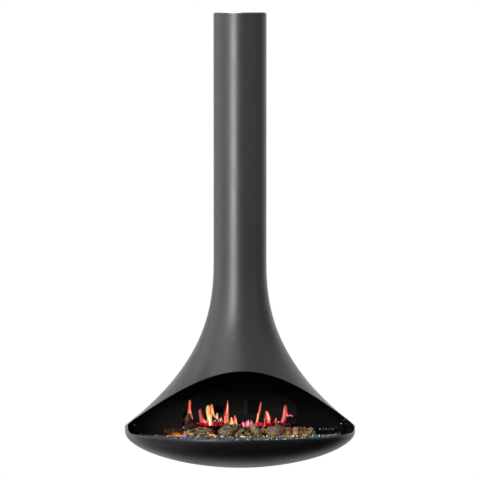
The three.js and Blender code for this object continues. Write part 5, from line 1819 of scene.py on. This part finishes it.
@dataclass
class WoodMaker(Maker):
    """Shapes branches along their paths."""

    rows: int = 96
    columns: int = 72
    bend_cell: float = 24.0
    knot_cell: float = 13.0
    ridge_share: float = 0.55
    knot_share: float = 0.9
    end_power: int = 26

    def limb(self, branch: Branch, seed: int) -> tuple[Array, Array]:
        """Sweeps a ring along the path; the ring's radius is r(t) * (1 + ridges + knots).

        Ridges are a sine of the angle bent by noise, knots are rough noise. The rings at both
        ends shrink so that the ends close.

        Args:
            branch: The length of wood.
            seed: Chooses the knots.

        Returns:
            Points and paint, rows by columns.
        """
        curve = ease(branch.path, self.rows)
        centre, radius = curve[:, :3], curve[:, 3]
        ahead = np.gradient(centre, axis=0)
        ahead = unit(ahead)
        side = np.cross(ahead, (0.0, 1.0, 0.001))
        side = unit(side)
        back = np.cross(side, ahead)
        angle = full_turn(self.columns)[None, :, None]
        ring = np.cos(angle) * side[:, None] + np.sin(angle) * back[:, None]
        plain = centre[:, None] + ring * radius[:, None, None]
        bend = smooth_noise(plain, self.bend_cell, SEED + seed)
        ridge = np.sin(branch.ridges * (angle[..., 0] + 0.8 * bend))
        knots = rough_noise(plain, self.knot_cell, SEED + seed + 7, 4)
        bark = self.ridge_share * (1.0 - np.abs(ridge)) + self.knot_share * knots
        shift = branch.rough * bark
        share = np.linspace(0.0, 1.0, self.rows)
        closing = np.sqrt(np.clip(1.0 - np.abs(2 * share - 1.0) ** self.end_power, 0.0, 1.0))
        points = centre[:, None] + ring * ((radius[:, None] + shift) * closing[:, None])[..., None]
        points[..., 2] = centre[:, None, 2] + (points[..., 2] - centre[:, None, 2]) * branch.flat
        low = points[..., 2].min()
        under = smooth_share(-ring[..., 2], 0.0, 0.9)
        paint = np.ones((*points.shape[:2], 4))
        speck = 0.3 + 0.7 * smooth_share(knots, -0.4, 0.4)
        speck = speck * smooth_share(points[..., 0], *branch.glow_span)
        paint[..., :3] = (under * speck)[..., None] * np.array(branch.glow)
        points[..., 2] += max(BedSizes.top - low, 0.0)
        if branch.face:
            way = np.array(branch.face.way) / np.linalg.norm(branch.face.way)
            beyond = (points - np.array(branch.face.point)) @ way
            points = points - np.maximum(beyond, 0.0)[..., None] * way
            paint[..., 3] = 1.0 - smooth_share(beyond, 0.0, 1.5)
        return points, paint

    def piece(
        self, name: str, branches: Sequence[Branch], finish: Finish, slot: str, node: str, seed: int
    ) -> None:
        """Joins branches into one piece.

        Args:
            name: The piece's name.
            branches: Its lengths of wood.
            finish: Its finish.
            slot: The record's slot.
            node: The node it stands for.
            seed: Chooses the knots.
        """
        form = Form()
        for number, branch in enumerate(branches):
            points, paint = self.limb(branch, seed + 11 * number)
            form.ball(points, paint)
        thing = form.mesh(name)
        soften(thing, 55.0)
        self.dress(thing, finish, slot, node)

    def build(self) -> None:
        """Makes the driftwood, the split log and the charred branch."""
        trunk = Branch(
            (
                (-212.0, 78.0, -1590.0, 15.0),
                (-192.0, 80.0, -1584.0, 19.0),
                (-168.0, 81.0, -1586.0, 16.0),
                (-142.0, 79.0, -1588.0, 15.0),
                (-118.0, 77.0, -1590.0, 13.5),
                (-97.0, 77.0, -1593.0, 8.0),
            ),
            7, 2.8, 1.0, (0.05, 0.01, 0.0),
        )
        bark = Branch(
            (
                (-286.0, 77.0, -1592.0, 11.0),
                (-272.0, 78.0, -1589.0, 14.5),
                (-250.0, 79.0, -1588.0, 15.5),
                (-232.0, 78.0, -1589.0, 15.0),
                (-214.0, 77.0, -1591.0, 12.0),
            ),
            11, 3.0, 0.95, (0.75, 0.19, 0.03), None, (-282.0, -228.0),
        )
        stub = Branch(
            (
                (-182.0, 78.0, -1580.0, 28.0),
                (-186.0, 78.0, -1562.0, 23.5),
                (-190.0, 78.0, -1553.0, 18.0),
                (-193.0, 77.5, -1543.0, 14.0),
                (-192.5, 77.0, -1527.0, 9.5),
                (-192.5, 77.0, -1518.0, 5.0),
            ),
            6, 1.8, face=Cut((-196.0, 70.4, -1540.0), (-0.45, -0.6, 0.65)),
        )
        root = Branch(
            (
                (-222.0, 71.0, -1594.0, 8.0),
                (-206.0, 69.0, -1590.0, 12.0),
                (-190.0, 70.0, -1592.0, 9.0),
            ),
            5, 2.0, 1.0, (0.5, 0.13, 0.02),
        )
        self.piece("driftwood_bark", (bark, stub, root), BARK, "bark", "driftwood", 1)
        self.piece("driftwood_trunk", (trunk,), TRUNK, "bark", "driftwood", 3)
        log = Branch(
            (
                (-213.0, 9.0, -1594.5, 11.0),
                (-200.0, 10.0, -1594.0, 11.5),
                (-165.0, 12.0, -1593.5, 11.5),
                (-135.0, 14.0, -1594.0, 11.0),
                (-115.0, 15.0, -1596.0, 8.0),
            ),
            5, 1.8, 1.0, (0.1, 0.03, 0.005), Cut((-206.0, 4.0, -1594.0), (-1.0, -0.75, 0.0)),
        )
        self.piece("pale_split_log", (log,), PALE_WOOD, "pale_wood", "split_log", 5)
        branch = Branch(
            (
                (-17.0, 43.0, -1596.0, 6.0),
                (-8.0, 43.5, -1592.5, 8.5),
                (6.0, 44.0, -1586.0, 9.0),
                (18.0, 44.5, -1580.0, 8.5),
                (27.0, 45.0, -1576.0, 6.5),
            ),
            6, 1.6,
        )
        self.piece("charred_stick", (branch,), CHAR, "bark", "charred_branch", 9)


# -------- stones


@dataclass(frozen=True)
class Stone:
    """One stone on the bed.

    Attributes:
        node: The node it stands for, empty for the flat stone in front that has none.
        place: Middle across and in depth.
        half: Half sizes.
        finish: Its finish.
        blocky: 2 for an egg, more for a block.
        rough: Share of its size that lumps and facets reach.
        lean: Turn about the line of sight in degrees.
        glow: Light caught near its foot.
        heaped: Share of the broken heap in its shape, 0 for one smooth stone.
    """

    node: str
    place: Pair
    half: Place
    finish: Mineral
    blocky: float = 2.6
    rough: float = 0.14
    lean: float = 0.0
    glow: Colour = (0.0, 0.0, 0.0)
    heaped: float = 0.75


STONES: tuple[Stone, ...] = (
    Stone("pumice_stone", (-49, 18), (34, 26, 23), PUMICE, 3.0, 0.1, -3.0, (0.05, 0.012, 0.0), 0.4),
    Stone("stone_back_left", (-49, 80), (15, 14, 24.5), BROWN_STONE, 2.6, 0.16),
    Stone("stone_back_middle", (-17, 76), (16, 15, 23.5), OLIVE_STONE, 2.4, 0.16, 14.0),
    Stone("stone_middle_small", (30, 64), (10, 10, 19.5), OLIVE_STONE, 2.8, 0.16),
    Stone("stone_middle_back", (56, 78), (20, 15, 22.5), TAN_STONE, 2.3, 0.16, -6.0),
    Stone("stone_middle_front", (66, 8), (16, 16, 15), GREY_STONE, 2.4, 0.09, heaped=0.3),
    Stone("stone_right_inner", (90, 42), (11, 12, 18), OLIVE_STONE, 2.8, 0.18, 10.0),
    Stone(
        "stone_right_large", (133, 4), (39, 25, 22.5), GRAIN_STONE, 2.7, 0.12, -5.0, (0.04, 0.012, 0.0), 0.5
    ),
    Stone("stone_right_back", (146, 76), (11, 12, 23.5), OLIVE_STONE, 2.6, 0.16),
    Stone("stone_right_amber", (177, 44), (20, 15, 18), TAN_STONE, 2.6, 0.15, 6.0, (0.32, 0.1, 0.012)),
    Stone("stone_right_outer", (214, 64), (16, 14, 17), TAN_STONE, 2.8, 0.16, -8.0, (0.2, 0.06, 0.008)),
    Stone("stone_end_inner", (236, 44), (9, 10, 13.5), OLIVE_STONE, 2.8, 0.17, 12.0),
    Stone("stone_end_small", (249, 70), (10, 11, 11.5), BROWN_STONE, 2.6, 0.18),
    Stone("stone_end_large", (272, 84), (15, 13, 15), TAN_STONE, 2.8, 0.16, -10.0),
    Stone("", (277, 56), (20, 10, 4.5), TAN_STONE, 3.0, 0.16, 4.0),
)


@dataclass
class StoneMaker(Maker):
    """Shapes stones as heaps of broken lumps with flat facets."""

    rows: int = 72
    columns: int = 110
    facets: int = 15
    lumps: int = 16
    lump_place: Pair = (0.5, 0.68)
    lump_size: Pair = (0.26, 0.46)
    facet_reach: Pair = (0.78, 1.02)
    core: float = 0.74

    def heap(self, way: Array, rng: np.random.Generator) -> Array:
        """Reach of a heap of balls along each direction.

        A ball with centre c and radius r is left along direction w at
        w.c + sqrt((w.c)^2 - |c|^2 + r^2); the farthest ball counts, and a core fills the middle.

        Args:
            way: Directions, the last axis holds x, y, z.
            rng: Seeded random numbers.

        Returns:
            The reach along each direction.
        """
        centres = rng.normal(size=(self.lumps, 3))
        centres = unit(centres)
        centres *= rng.uniform(*self.lump_place, (self.lumps, 1))
        radii = rng.uniform(*self.lump_size, self.lumps)
        along = way @ centres.T
        inside = along**2 - (centres**2).sum(axis=1) + radii**2
        hit = (inside > 0.0) & (along > 0.0)
        reach = np.where(hit, along + np.sqrt(np.maximum(inside, 0.0)), 0.0)
        return np.maximum(reach.max(axis=-1), self.core)

    def shape(self, stone: Stone, seed: int) -> tuple[Array, Array]:
        """Blends |x|^n+|y|^n+|z|^n=1 with a heap of lumps, cuts flat facets off and roughens it.

        Each facet stops the surface at a plane a little inside the ball; the roughness is
        coarse and fine noise along the direction.

        Args:
            stone: The stone.
            seed: Chooses its facets and lumps.

        Returns:
            Points and paint, rows by columns.
        """
        rng = np.random.default_rng(SEED + seed)
        way = ball_ways(self.rows, self.columns)
        reach = (np.abs(way) ** stone.blocky).sum(axis=-1) ** (-1.0 / stone.blocky)
        normals = rng.normal(size=(self.facets, 3))
        normals = unit(normals)
        limits = rng.uniform(*self.facet_reach, self.facets)
        facing = np.maximum(way @ normals.T, 1e-3)
        reach = np.minimum(reach, (limits / facing).min(axis=-1))
        reach = (1.0 - stone.heaped) * reach + stone.heaped * self.heap(way, rng)
        reach *= 1.0 + stone.rough * rough_noise(way * 10.0, 9.0, SEED + seed, 5)
        reach *= 1.0 + 0.05 * rough_noise(way * 10.0, 1.6, SEED + seed + 90, 3)
        half = np.array(stone.half, dtype=float)
        points = way * reach[..., None]
        points = points / np.abs(points).max(axis=(0, 1)) * half
        lean = math.radians(stone.lean)
        cosine, sine = math.cos(lean), math.sin(lean)
        swing = np.array([[cosine, 0, -sine], [0, 1, 0], [sine, 0, cosine]])
        points = points @ swing
        points = points * half / np.abs(points).max(axis=(0, 1))
        middle = np.array([*stone.place, BedSizes.top + half[2]])
        foot = smooth_share(-points[..., 2] / half[2], -0.2, 0.9)
        front = smooth_share(-way[..., 1], -0.6, 0.6)
        paint = np.ones((*points.shape[:2], 4))
        paint[..., :3] = (foot * front)[..., None] * np.array(stone.glow)
        return points + middle, paint

    def build(self) -> None:
        """Makes all stones."""
        for number, stone in enumerate(STONES):
            points, paint = self.shape(stone, 40 + number)
            form = Form()
            form.ball(points, paint)
            thing = form.mesh(f"{stone.node}_skin" if stone.node else "flat_end_stone")
            soften(thing, 70.0)
            slot = "pumice" if stone.finish is PUMICE else "bed_stone"
            self.dress(thing, stone.finish, slot, stone.node or None)


@dataclass(frozen=True)
class GravelSizes:
    """Sizes of the small broken stones that fill the pile, in millimetres."""

    left: float = -66.0
    right: float = 282.0
    front: float = 6.0
    back: float = 104.0
    heap: float = 26.0
    count: int = 96
    small: float = 4.5
    large: float = 10.5
    left_slope: Pair = (-70.0, -40.0)
    right_slope: Pair = (300.0, 215.0)
    glow_share: float = 0.16
    facet_reach: Pair = (0.62, 0.95)


@dataclass
class Gravel(Maker):
    """Small broken stones between the large ones."""

    rows: int = 7
    columns: int = 9
    facets: int = 9
    FINISHES = (TAN_STONE, OLIVE_STONE, BROWN_STONE)

    sizes: GravelSizes = GravelSizes()

    def faces(self) -> Array:
        """Triangles of one small stone: rings of corners between two poles.

        Returns:
            Rows of three corner numbers.
        """
        rings, columns = self.rows - 2, self.columns
        index = np.arange(rings * columns).reshape(rings, columns)
        after = np.roll(index, -1, axis=1)
        top, foot = rings * columns, rings * columns + 1
        parts = (
            np.stack([index[:-1], index[1:], after[1:]], axis=-1).reshape(-1, 3),
            np.stack([index[:-1], after[1:], after[:-1]], axis=-1).reshape(-1, 3),
            np.stack([np.full(columns, top), index[0], after[0]], axis=-1),
            np.stack([np.full(columns, foot), after[-1], index[-1]], axis=-1),
        )
        return np.concatenate(parts)

    def corners(self, rng: np.random.Generator) -> Array:
        """Corners of all small stones about their own middles, stones by corners by three.

        A corner lies along its direction at the nearest of some random planes.

        Args:
            rng: Seeded random numbers.

        Returns:
            The corners.
        """
        count = self.sizes.count
        way = ball_ways(self.rows, self.columns)[1:-1].reshape(-1, 3)
        way = np.concatenate([way, [[0.0, 0.0, 1.0], [0.0, 0.0, -1.0]]])
        normals = rng.normal(size=(count, self.facets, 3))
        normals = unit(normals, 2)
        facing = np.maximum(np.einsum("ck,nfk->ncf", way, normals), 1e-3)
        limits = rng.uniform(*self.sizes.facet_reach, (count, 1, self.facets))
        reach = np.minimum((limits / facing).min(axis=-1), 1.1)
        reach *= rng.uniform(0.9, 1.1, reach.shape)
        half = rng.uniform(self.sizes.small, self.sizes.large, (count, 1, 1))
        stretch = rng.uniform(0.75, 1.25, (count, 1, 3))
        return way[None] * reach[..., None] * half * stretch

    def build(self) -> None:
        """Heaps the stones highest behind the large ones and splits them by finish."""
        sizes = self.sizes
        rng = np.random.default_rng(SEED + 71)
        across = rng.uniform(sizes.left, sizes.right, sizes.count)
        share = rng.uniform(0.0, 1.0, sizes.count)
        depth = sizes.front + (sizes.back - sizes.front) * share
        ends = smooth_share(across, *sizes.left_slope) * smooth_share(across, *sizes.right_slope)
        lift = sizes.heap * ends * smooth_share(share, 0.3, 0.75) * rng.uniform(0.2, 1.0, sizes.count)
        shape = self.corners(rng)
        middle = np.stack([across, depth, np.zeros_like(across)], axis=-1)
        points = shape + middle[:, None]
        low = shape[..., 2].min(axis=1)
        points[..., 2] += (BedSizes.top + lift - low)[:, None]
        paint = bed_light(points.mean(axis=1))
        paint[..., :3] *= sizes.glow_share
        chosen = rng.integers(0, len(self.FINISHES), sizes.count)
        for number, finish in enumerate(self.FINISHES):
            form = Form()
            form.shards(points[chosen == number], self.faces(), paint[chosen == number])
            thing = form.mesh(f"small_{finish.name}s")
            soften(thing, 38.0)
            self.dress(thing, finish, "bed_stone")


# -------- controls


class Mark(Enum):
    """Print on a button."""

    AHEAD = "wedge to the right"
    DOT = "filled dot"
    BACK = "wedge to the left"
    RING = "open ring"


@dataclass(frozen=True)
class ButtonSizes:
    """Sizes of the buttons' prints in millimetres."""

    first: float = 324.6
    step: float = 12.4
    level: float = -1589.0
    front: float = 150.3
    ring: float = 4.3
    stroke: float = 1.15
    lift: float = 0.12


@dataclass
class Controls(Maker):
    """Prints on the four buttons."""

    MARKS = (Mark.AHEAD, Mark.DOT, Mark.BACK, Mark.RING)

    sizes: ButtonSizes = ButtonSizes()

    def outline(self, mark: Mark) -> Array:
        """Centre line and half width of a print, rows of across, up and half width.

        A ring runs all round; a wedge is the ring's half turn with its middle drawn to a point;
        a dot is a ring so wide that it closes.

        Args:
            mark: Which print.

        Returns:
            The rows.
        """
        sizes = self.sizes
        if mark is Mark.DOT:
            turn = np.linspace(0.0, 2 * math.pi, 40)
            radius = sizes.ring * 0.42
            half = np.full_like(turn, sizes.ring * 0.4)
            return np.stack([radius * np.cos(turn), radius * np.sin(turn), half], axis=-1)
        if mark is Mark.RING:
            turn = np.linspace(0.0, 2 * math.pi, 48)
            radius = sizes.ring - sizes.stroke / 2
            half = np.full_like(turn, sizes.stroke / 2)
            return np.stack([radius * np.cos(turn), radius * np.sin(turn), half], axis=-1)
        side = 1.0 if mark is Mark.AHEAD else -1.0
        share = np.linspace(-1.0, 1.0, 33)
        across = side * (sizes.ring * 0.75 - 1.35 * sizes.ring * np.abs(share))
        half = np.full_like(share, sizes.stroke * 0.62)
        return np.stack([across, 0.92 * sizes.ring * share, half], axis=-1)

    def print_form(self, mark: Mark, middle: float) -> Form:
        """Raises a print a hair's breadth off the button's face.

        The print's section is a flat box swept along its centre line.

        Args:
            mark: Which print.
            middle: The button's middle across.

        Returns:
            The print's form.
        """
        sizes = self.sizes
        rows = self.outline(mark)
        line, half = rows[:, :2], rows[:, 2:]
        ahead = np.gradient(line, axis=0)
        ahead = unit(ahead)
        side = np.stack([-ahead[:, 1], ahead[:, 0]], axis=-1)
        left, right = line - side * half, line + side * half
        flat = np.stack([left, right, right, left], axis=1)
        depth = np.array([sizes.front - sizes.lift, sizes.front - sizes.lift, sizes.front, sizes.front])
        parts = (middle + flat[..., 0], np.broadcast_to(depth, flat.shape[:2]), sizes.level + flat[..., 1])
        form = Form()
        form.grid(np.stack(parts, axis=-1))
        return form

    def build(self) -> None:
        """Makes each print and lets it ride on its button."""
        for number, mark in enumerate(self.MARKS, start=1):
            middle = self.sizes.first + self.sizes.step * (number - 1)
            thing = self.print_form(mark, middle).mesh(f"button_print_{number}")
            self.dress(thing, BUTTON_PRINT, "button_grey", body=f"button_{number}")


# -------- carried-over nodes


# most slots of the record have the name of the finish that they get
SLOT_FINISHES: dict[str, Finish] = {
    finish.name: finish
    for finish in (
        SHELL_PAINT, LINING_PAINT, SHADED_LINTEL_BLACK, GALVANISED, BLACK_STEEL, BRIGHT_STEEL, BLACK_RUBBER,
        MIRROR, FROSTED, SPINDLE_FOIL, CIRCUIT, EMBER, CHIPS, BARK, PALE_WOOD, PUMICE, GLOSS_BLACK,
        BUTTON_BLACK, LENS,
    )
}
SLOT_FINISHES["bed_stone"] = OLIVE_STONE
NODE_FINISHES: dict[str, Finish] = {"side_panel_right": SHADED_LINING}


def finish_nodes(nodes: dict[str, Piece], finishes: Finishes) -> None:
    """Gives every carried-over node its own finish, or else that of its slot.

    Args:
        nodes: The frame's nodes by name.
        finishes: Where materials come from.
    """
    for name, node in nodes.items():
        LOG.info("%s: carried-over node", name)
        for slot in node.material_slots:
            slot_name = slot.material.name.split(".")[0]
            if slot_name in SLOT_FINISHES:
                slot.material = finishes.get(NODE_FINISHES.get(name, SLOT_FINISHES[slot_name]))
            else:
                LOG.warning("%s keeps %s", name, slot_name)


# -------- studio


@dataclass(frozen=True)
class Softbox:
    """A soft lamp aimed at the fireplace; bearing and lift in degrees, distance and size in metres."""

    name: str
    bearing: float
    lift: float
    distance: float
    size: Pair
    radiance: float


@dataclass(frozen=True)
class Card:
    """A dark or pale card that only reflections see; its light may change from foot to top."""

    name: str
    corners: tuple[Place, Place, Place, Place]
    light: Colour
    upper: Colour | None = None


SOFTBOXES: tuple[Softbox, ...] = (
    Softbox("key_box", -31.5, 2.0, 5.0, (1.9, 4.8), 12.5),
    Softbox("left_box", -58.0, 10.0, 5.0, (2.6, 4.8), 1.6),
    Softbox("side_box", -100.0, 12.0, 4.6, (4.0, 5.0), 1.25),
    Softbox("upper_box", -46.0, 52.0, 5.0, (4.6, 3.0), 1.9),
)

AIM = (0.0, 0.0, -1.1)
EYE = (-0.973, -18.574, 0.0)
ROOM_DEPTH = -3.0
GLASS_DEPTH = 0.159


def grey(value: float) -> Colour:
    """Gives a neutral tone."""
    return (value, value, value)


def mirrored(
    name: str,
    glass_box: tuple[float, float, float, float],
    light: float,
    upper: float | None = None,
    depth: float = ROOM_DEPTH,
) -> Card:
    """Makes an upright card in the room that the glass mirrors at a given place.

    The sight line runs from the eye to the glass and is thrown back into the room, so a place on
    the glass is stretched about the eye by 1 + room distance / eye distance.

    Args:
        name: The card's name.
        glass_box: Left, right, foot and top on the glass in millimetres.
        light: Its brightness, at its foot where it fades.
        upper: Its brightness at the top, if another.
        depth: How far forward it stands.

    Returns:
        The card.
    """
    stretch = 1.0 + (GLASS_DEPTH - depth) / (GLASS_DEPTH - EYE[1])
    left, right = ((side * MM - EYE[0]) * stretch + EYE[0] for side in glass_box[:2])
    foot, top = (level * MM * stretch for level in glass_box[2:])
    corners = ((left, depth, foot), (right, depth, foot), (right, depth, top), (left, depth, top))
    return Card(name, corners, grey(light), None if upper is None else grey(upper))


NEAR_ROOM = ROOM_DEPTH + 0.02
ROOM_CARDS: tuple[Card, ...] = (
    mirrored("room_wall", (-1500.0, 1900.0, -1930.0, -1532.0), 0.12, 0.105),
    mirrored("room_wall_middle", (-1500.0, 1900.0, -1532.0, -1495.0), 0.105, 0.05),
    mirrored("room_wall_high", (-1500.0, 1900.0, -1495.0, -1440.0), 0.05, 0.01),
    mirrored("room_wall_top", (-1500.0, 1900.0, -1440.0, -1300.0), 0.01, 0.003),
    mirrored("room_lip", (-222.0, 236.0, -1565.0, -1531.0), 0.11, 0.105, -0.385),
    mirrored("room_post", (26.5, 30.5, -1560.0, -1478.0), 0.3, 0.22, NEAR_ROOM),
    mirrored("room_pane_left", (38.5, 54.5, -1512.0, -1476.0), 0.022, 0.015, NEAR_ROOM),
    mirrored("room_pane_right", (57.5, 76.0, -1512.0, -1476.0), 0.022, 0.015, NEAR_ROOM),
    mirrored("room_pane_low_left", (38.5, 54.5, -1536.0, -1515.0), 0.03, 0.025, NEAR_ROOM),
    mirrored("room_pane_low_right", (57.5, 76.0, -1536.0, -1515.0), 0.03, 0.025, NEAR_ROOM),
    mirrored("room_chair", (-92.0, -56.0, -1528.0, -1500.0), 0.004, None, NEAR_ROOM),
    mirrored("room_arch", (128.0, 152.0, -1537.0, -1529.0), 0.008, None, NEAR_ROOM),
    Card(
        "side_flag",
        ((3.2, -1.1, -2.25), (3.2, 2.0, -2.25), (3.2, 2.0, 0.6), (3.2, -1.1, 0.6)),
        grey(0.55),
    ),
)


@dataclass
class Studio:
    """World, lamps, floor, cards and camera."""

    floor_level: float = -2.3
    floor_radius: float = 4.0
    camera_aim: Place = (0.0, 0.0, -0.859)
    lens_mm: float = 369.9
    diffuse_share: float = 0.5
    cover_half: float = 4.5
    cover_dark: float = 0.012
    cover_pale: float = 0.62
    cover_left: float = 0.4
    cover_fade: Pair = (0.12, 1.2)
    left_fade: Pair = (0.15, 0.9)
    slant: float = 0.3

    def world(self) -> None:
        """White to the camera, mirrors and glass, and a plain soft light for everything else."""
        world = bpy.data.worlds.new("studio_world")
        bpy.context.scene.world = world
        world.use_nodes = True
        tree = Tree(world.node_tree)
        path = tree.add("ShaderNodeLightPath").outputs
        seen = tree.add(
            "ShaderNodeMath",
            {0: path["Is Camera Ray"], 1: path["Is Glossy Ray"]},
            operation="MAXIMUM",
        )
        seen = tree.add(
            "ShaderNodeMath",
            {0: seen.outputs[0], 1: path["Is Transmission Ray"]},
            operation="MAXIMUM",
        )
        share = tree.add("ShaderNodeMapRange", {0: seen.outputs[0], 3: self.diffuse_share})
        back = tree.add("ShaderNodeBackground", {0: (1.0, 1.0, 1.0, 1.0), 1: share.outputs[0]})
        tree.add("ShaderNodeOutputWorld", {0: back.outputs[0]})

    def lamp(self, box: Softbox) -> None:
        """Hangs a soft lamp; its power is radiance * pi * area.

        Args:
            box: The lamp.
        """
        light = bpy.data.lights.new(box.name, "AREA")
        light.shape = "RECTANGLE"
        light.size, light.size_y = box.size
        light.energy = box.radiance * math.pi * box.size[0] * box.size[1]
        thing = bpy.data.objects.new(box.name, light)
        bearing, lift = math.radians(box.bearing), math.radians(box.lift)
        way = (math.sin(bearing) * math.cos(lift), -math.cos(bearing) * math.cos(lift), math.sin(lift))
        thing.location = [aim + part * box.distance for aim, part in zip(AIM, way)]
        thing.rotation_euler = (math.pi / 2 - lift, 0.0, bearing)
        thing.visible_camera = False
        bpy.context.scene.collection.objects.link(thing)

    def only_reflected(self, thing: Piece) -> None:
        """Lets a card glow by its paint, a little unevenly, and hides it from all but reflections.

        Args:
            thing: The card.
        """
        graph = Graph(thing.name)
        uneven = graph.span(graph.noise(2.0, 3.0), (0.3, 0.7), (0.9, 1.1))
        source = {"Color": graph.paint().outputs["Color"], "Strength": uneven}
        thing.data.materials.append(graph.done(graph.add("ShaderNodeEmission", source)))
        thing.visible_camera = False
        thing.visible_diffuse = False
        thing.visible_transmission = False
        thing.visible_shadow = False

    def card(self, card: Card) -> Piece:
        """Stands a card that only reflections see.

        Args:
            card: The card.

        Returns:
            The card's object.
        """
        mesh = bpy.data.meshes.new(card.name)
        mesh.from_pydata(card.corners, [], [[0, 1, 2, 3]])
        upper = card.upper or card.light
        layer = mesh.attributes.new("paint", "FLOAT_COLOR", "POINT")
        colours = [(*part, 1.0) for part in (card.light, card.light, upper, upper)]
        layer.data.foreach_set("color", np.array(colours, dtype=np.float32).ravel())
        thing = bpy.data.objects.new(card.name, mesh)
        bpy.context.scene.collection.objects.link(thing)
        self.only_reflected(thing)
        return thing

    def floor_cover(self) -> Piece:
        """Dark cloth over the floor that only reflections see, lighter behind the fireplace.

        It is a grid over x and y; its brightness grows with y - 0.3 |x|, and a little with -x.

        Returns:
            The cloth.
        """
        side = np.linspace(-1.0, 1.0, 65) * self.cover_half
        across, depth = np.meshgrid(side, side, indexing="ij")
        level = np.full_like(across, self.floor_level + 0.03)
        behind = smooth_share(depth - self.slant * np.abs(across), *self.cover_fade)
        left = smooth_share(-across - 0.4 * np.abs(depth), *self.left_fade)
        light = self.cover_dark + (self.cover_pale - self.cover_dark) * behind
        light = light + self.cover_left * left
        paint = np.repeat(light[..., None], 4, axis=-1)
        form = Form()
        form.grid(np.stack([across, depth, level], axis=-1) / MM, wrap=False, paint=paint)
        thing = form.mesh("floor_cover", outward=False)
        self.only_reflected(thing)
        return thing

    def floor(self) -> Piece:
        """Pale round floor under the fireplace.

        Returns:
            The floor.
        """
        turn = full_turn(96)
        rim = self.floor_radius * np.stack([np.cos(turn), np.sin(turn), 0 * turn], axis=-1)
        mesh = bpy.data.meshes.new("studio_floor")
        mesh.from_pydata((rim + (0.0, 0.0, self.floor_level)).tolist(), [], [list(range(len(turn)))])
        graph = Graph("studio_floor")
        grain = graph.noise(30.0, 4.0)
        inputs = {
            "Base Color": graph.blend(grain, (0.8, 0.8, 0.8), (0.84, 0.84, 0.84)),
            "Roughness": graph.span(grain, (0.3, 0.7), (0.8, 0.9)),
        }
        mesh.materials.append(graph.done(graph.surface(inputs)))
        thing = bpy.data.objects.new("studio_floor", mesh)
        bpy.context.scene.collection.objects.link(thing)
        return thing

    def camera(self) -> None:
        """Long lens a little left of the middle, at the height of the ceiling."""
        data = bpy.data.cameras.new("front_camera")
        data.lens = self.lens_mm
        data.sensor_width = 36.0
        data.clip_end = 60.0
        thing = bpy.data.objects.new("front_camera", data)
        across, along, up = (aim - at for aim, at in zip(self.camera_aim, EYE))
        thing.location = EYE
        tilt = math.pi / 2 + math.atan2(up, math.hypot(across, along))
        thing.rotation_euler = (tilt, 0.0, -math.atan2(across, along))
        bpy.context.scene.collection.objects.link(thing)
        bpy.context.scene.camera = thing

    def build(self) -> None:
        """Sets up the whole studio."""
        bpy.context.scene.view_settings.view_transform = "Standard"
        self.world()
        for box in SOFTBOXES:
            self.lamp(box)
        cards = [self.card(card) for card in ROOM_CARDS]
        self.floor()
        self.floor_cover()
        self.camera()


def main() -> None:
    """Builds the fireplace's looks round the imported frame."""
    logging.basicConfig(level=logging.INFO, format="%(name)s: %(message)s")
    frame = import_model()
    finishes = Finishes()
    finish_nodes(frame["nodes"], finishes)
    for maker in (OuterShell, FlamePicture, Bed, WoodMaker, StoneMaker, Gravel, Controls):
        LOG.info("making %s", maker.__name__)
        maker(finishes).build()
    Studio().build()


if __name__ == "__main__":
    main()
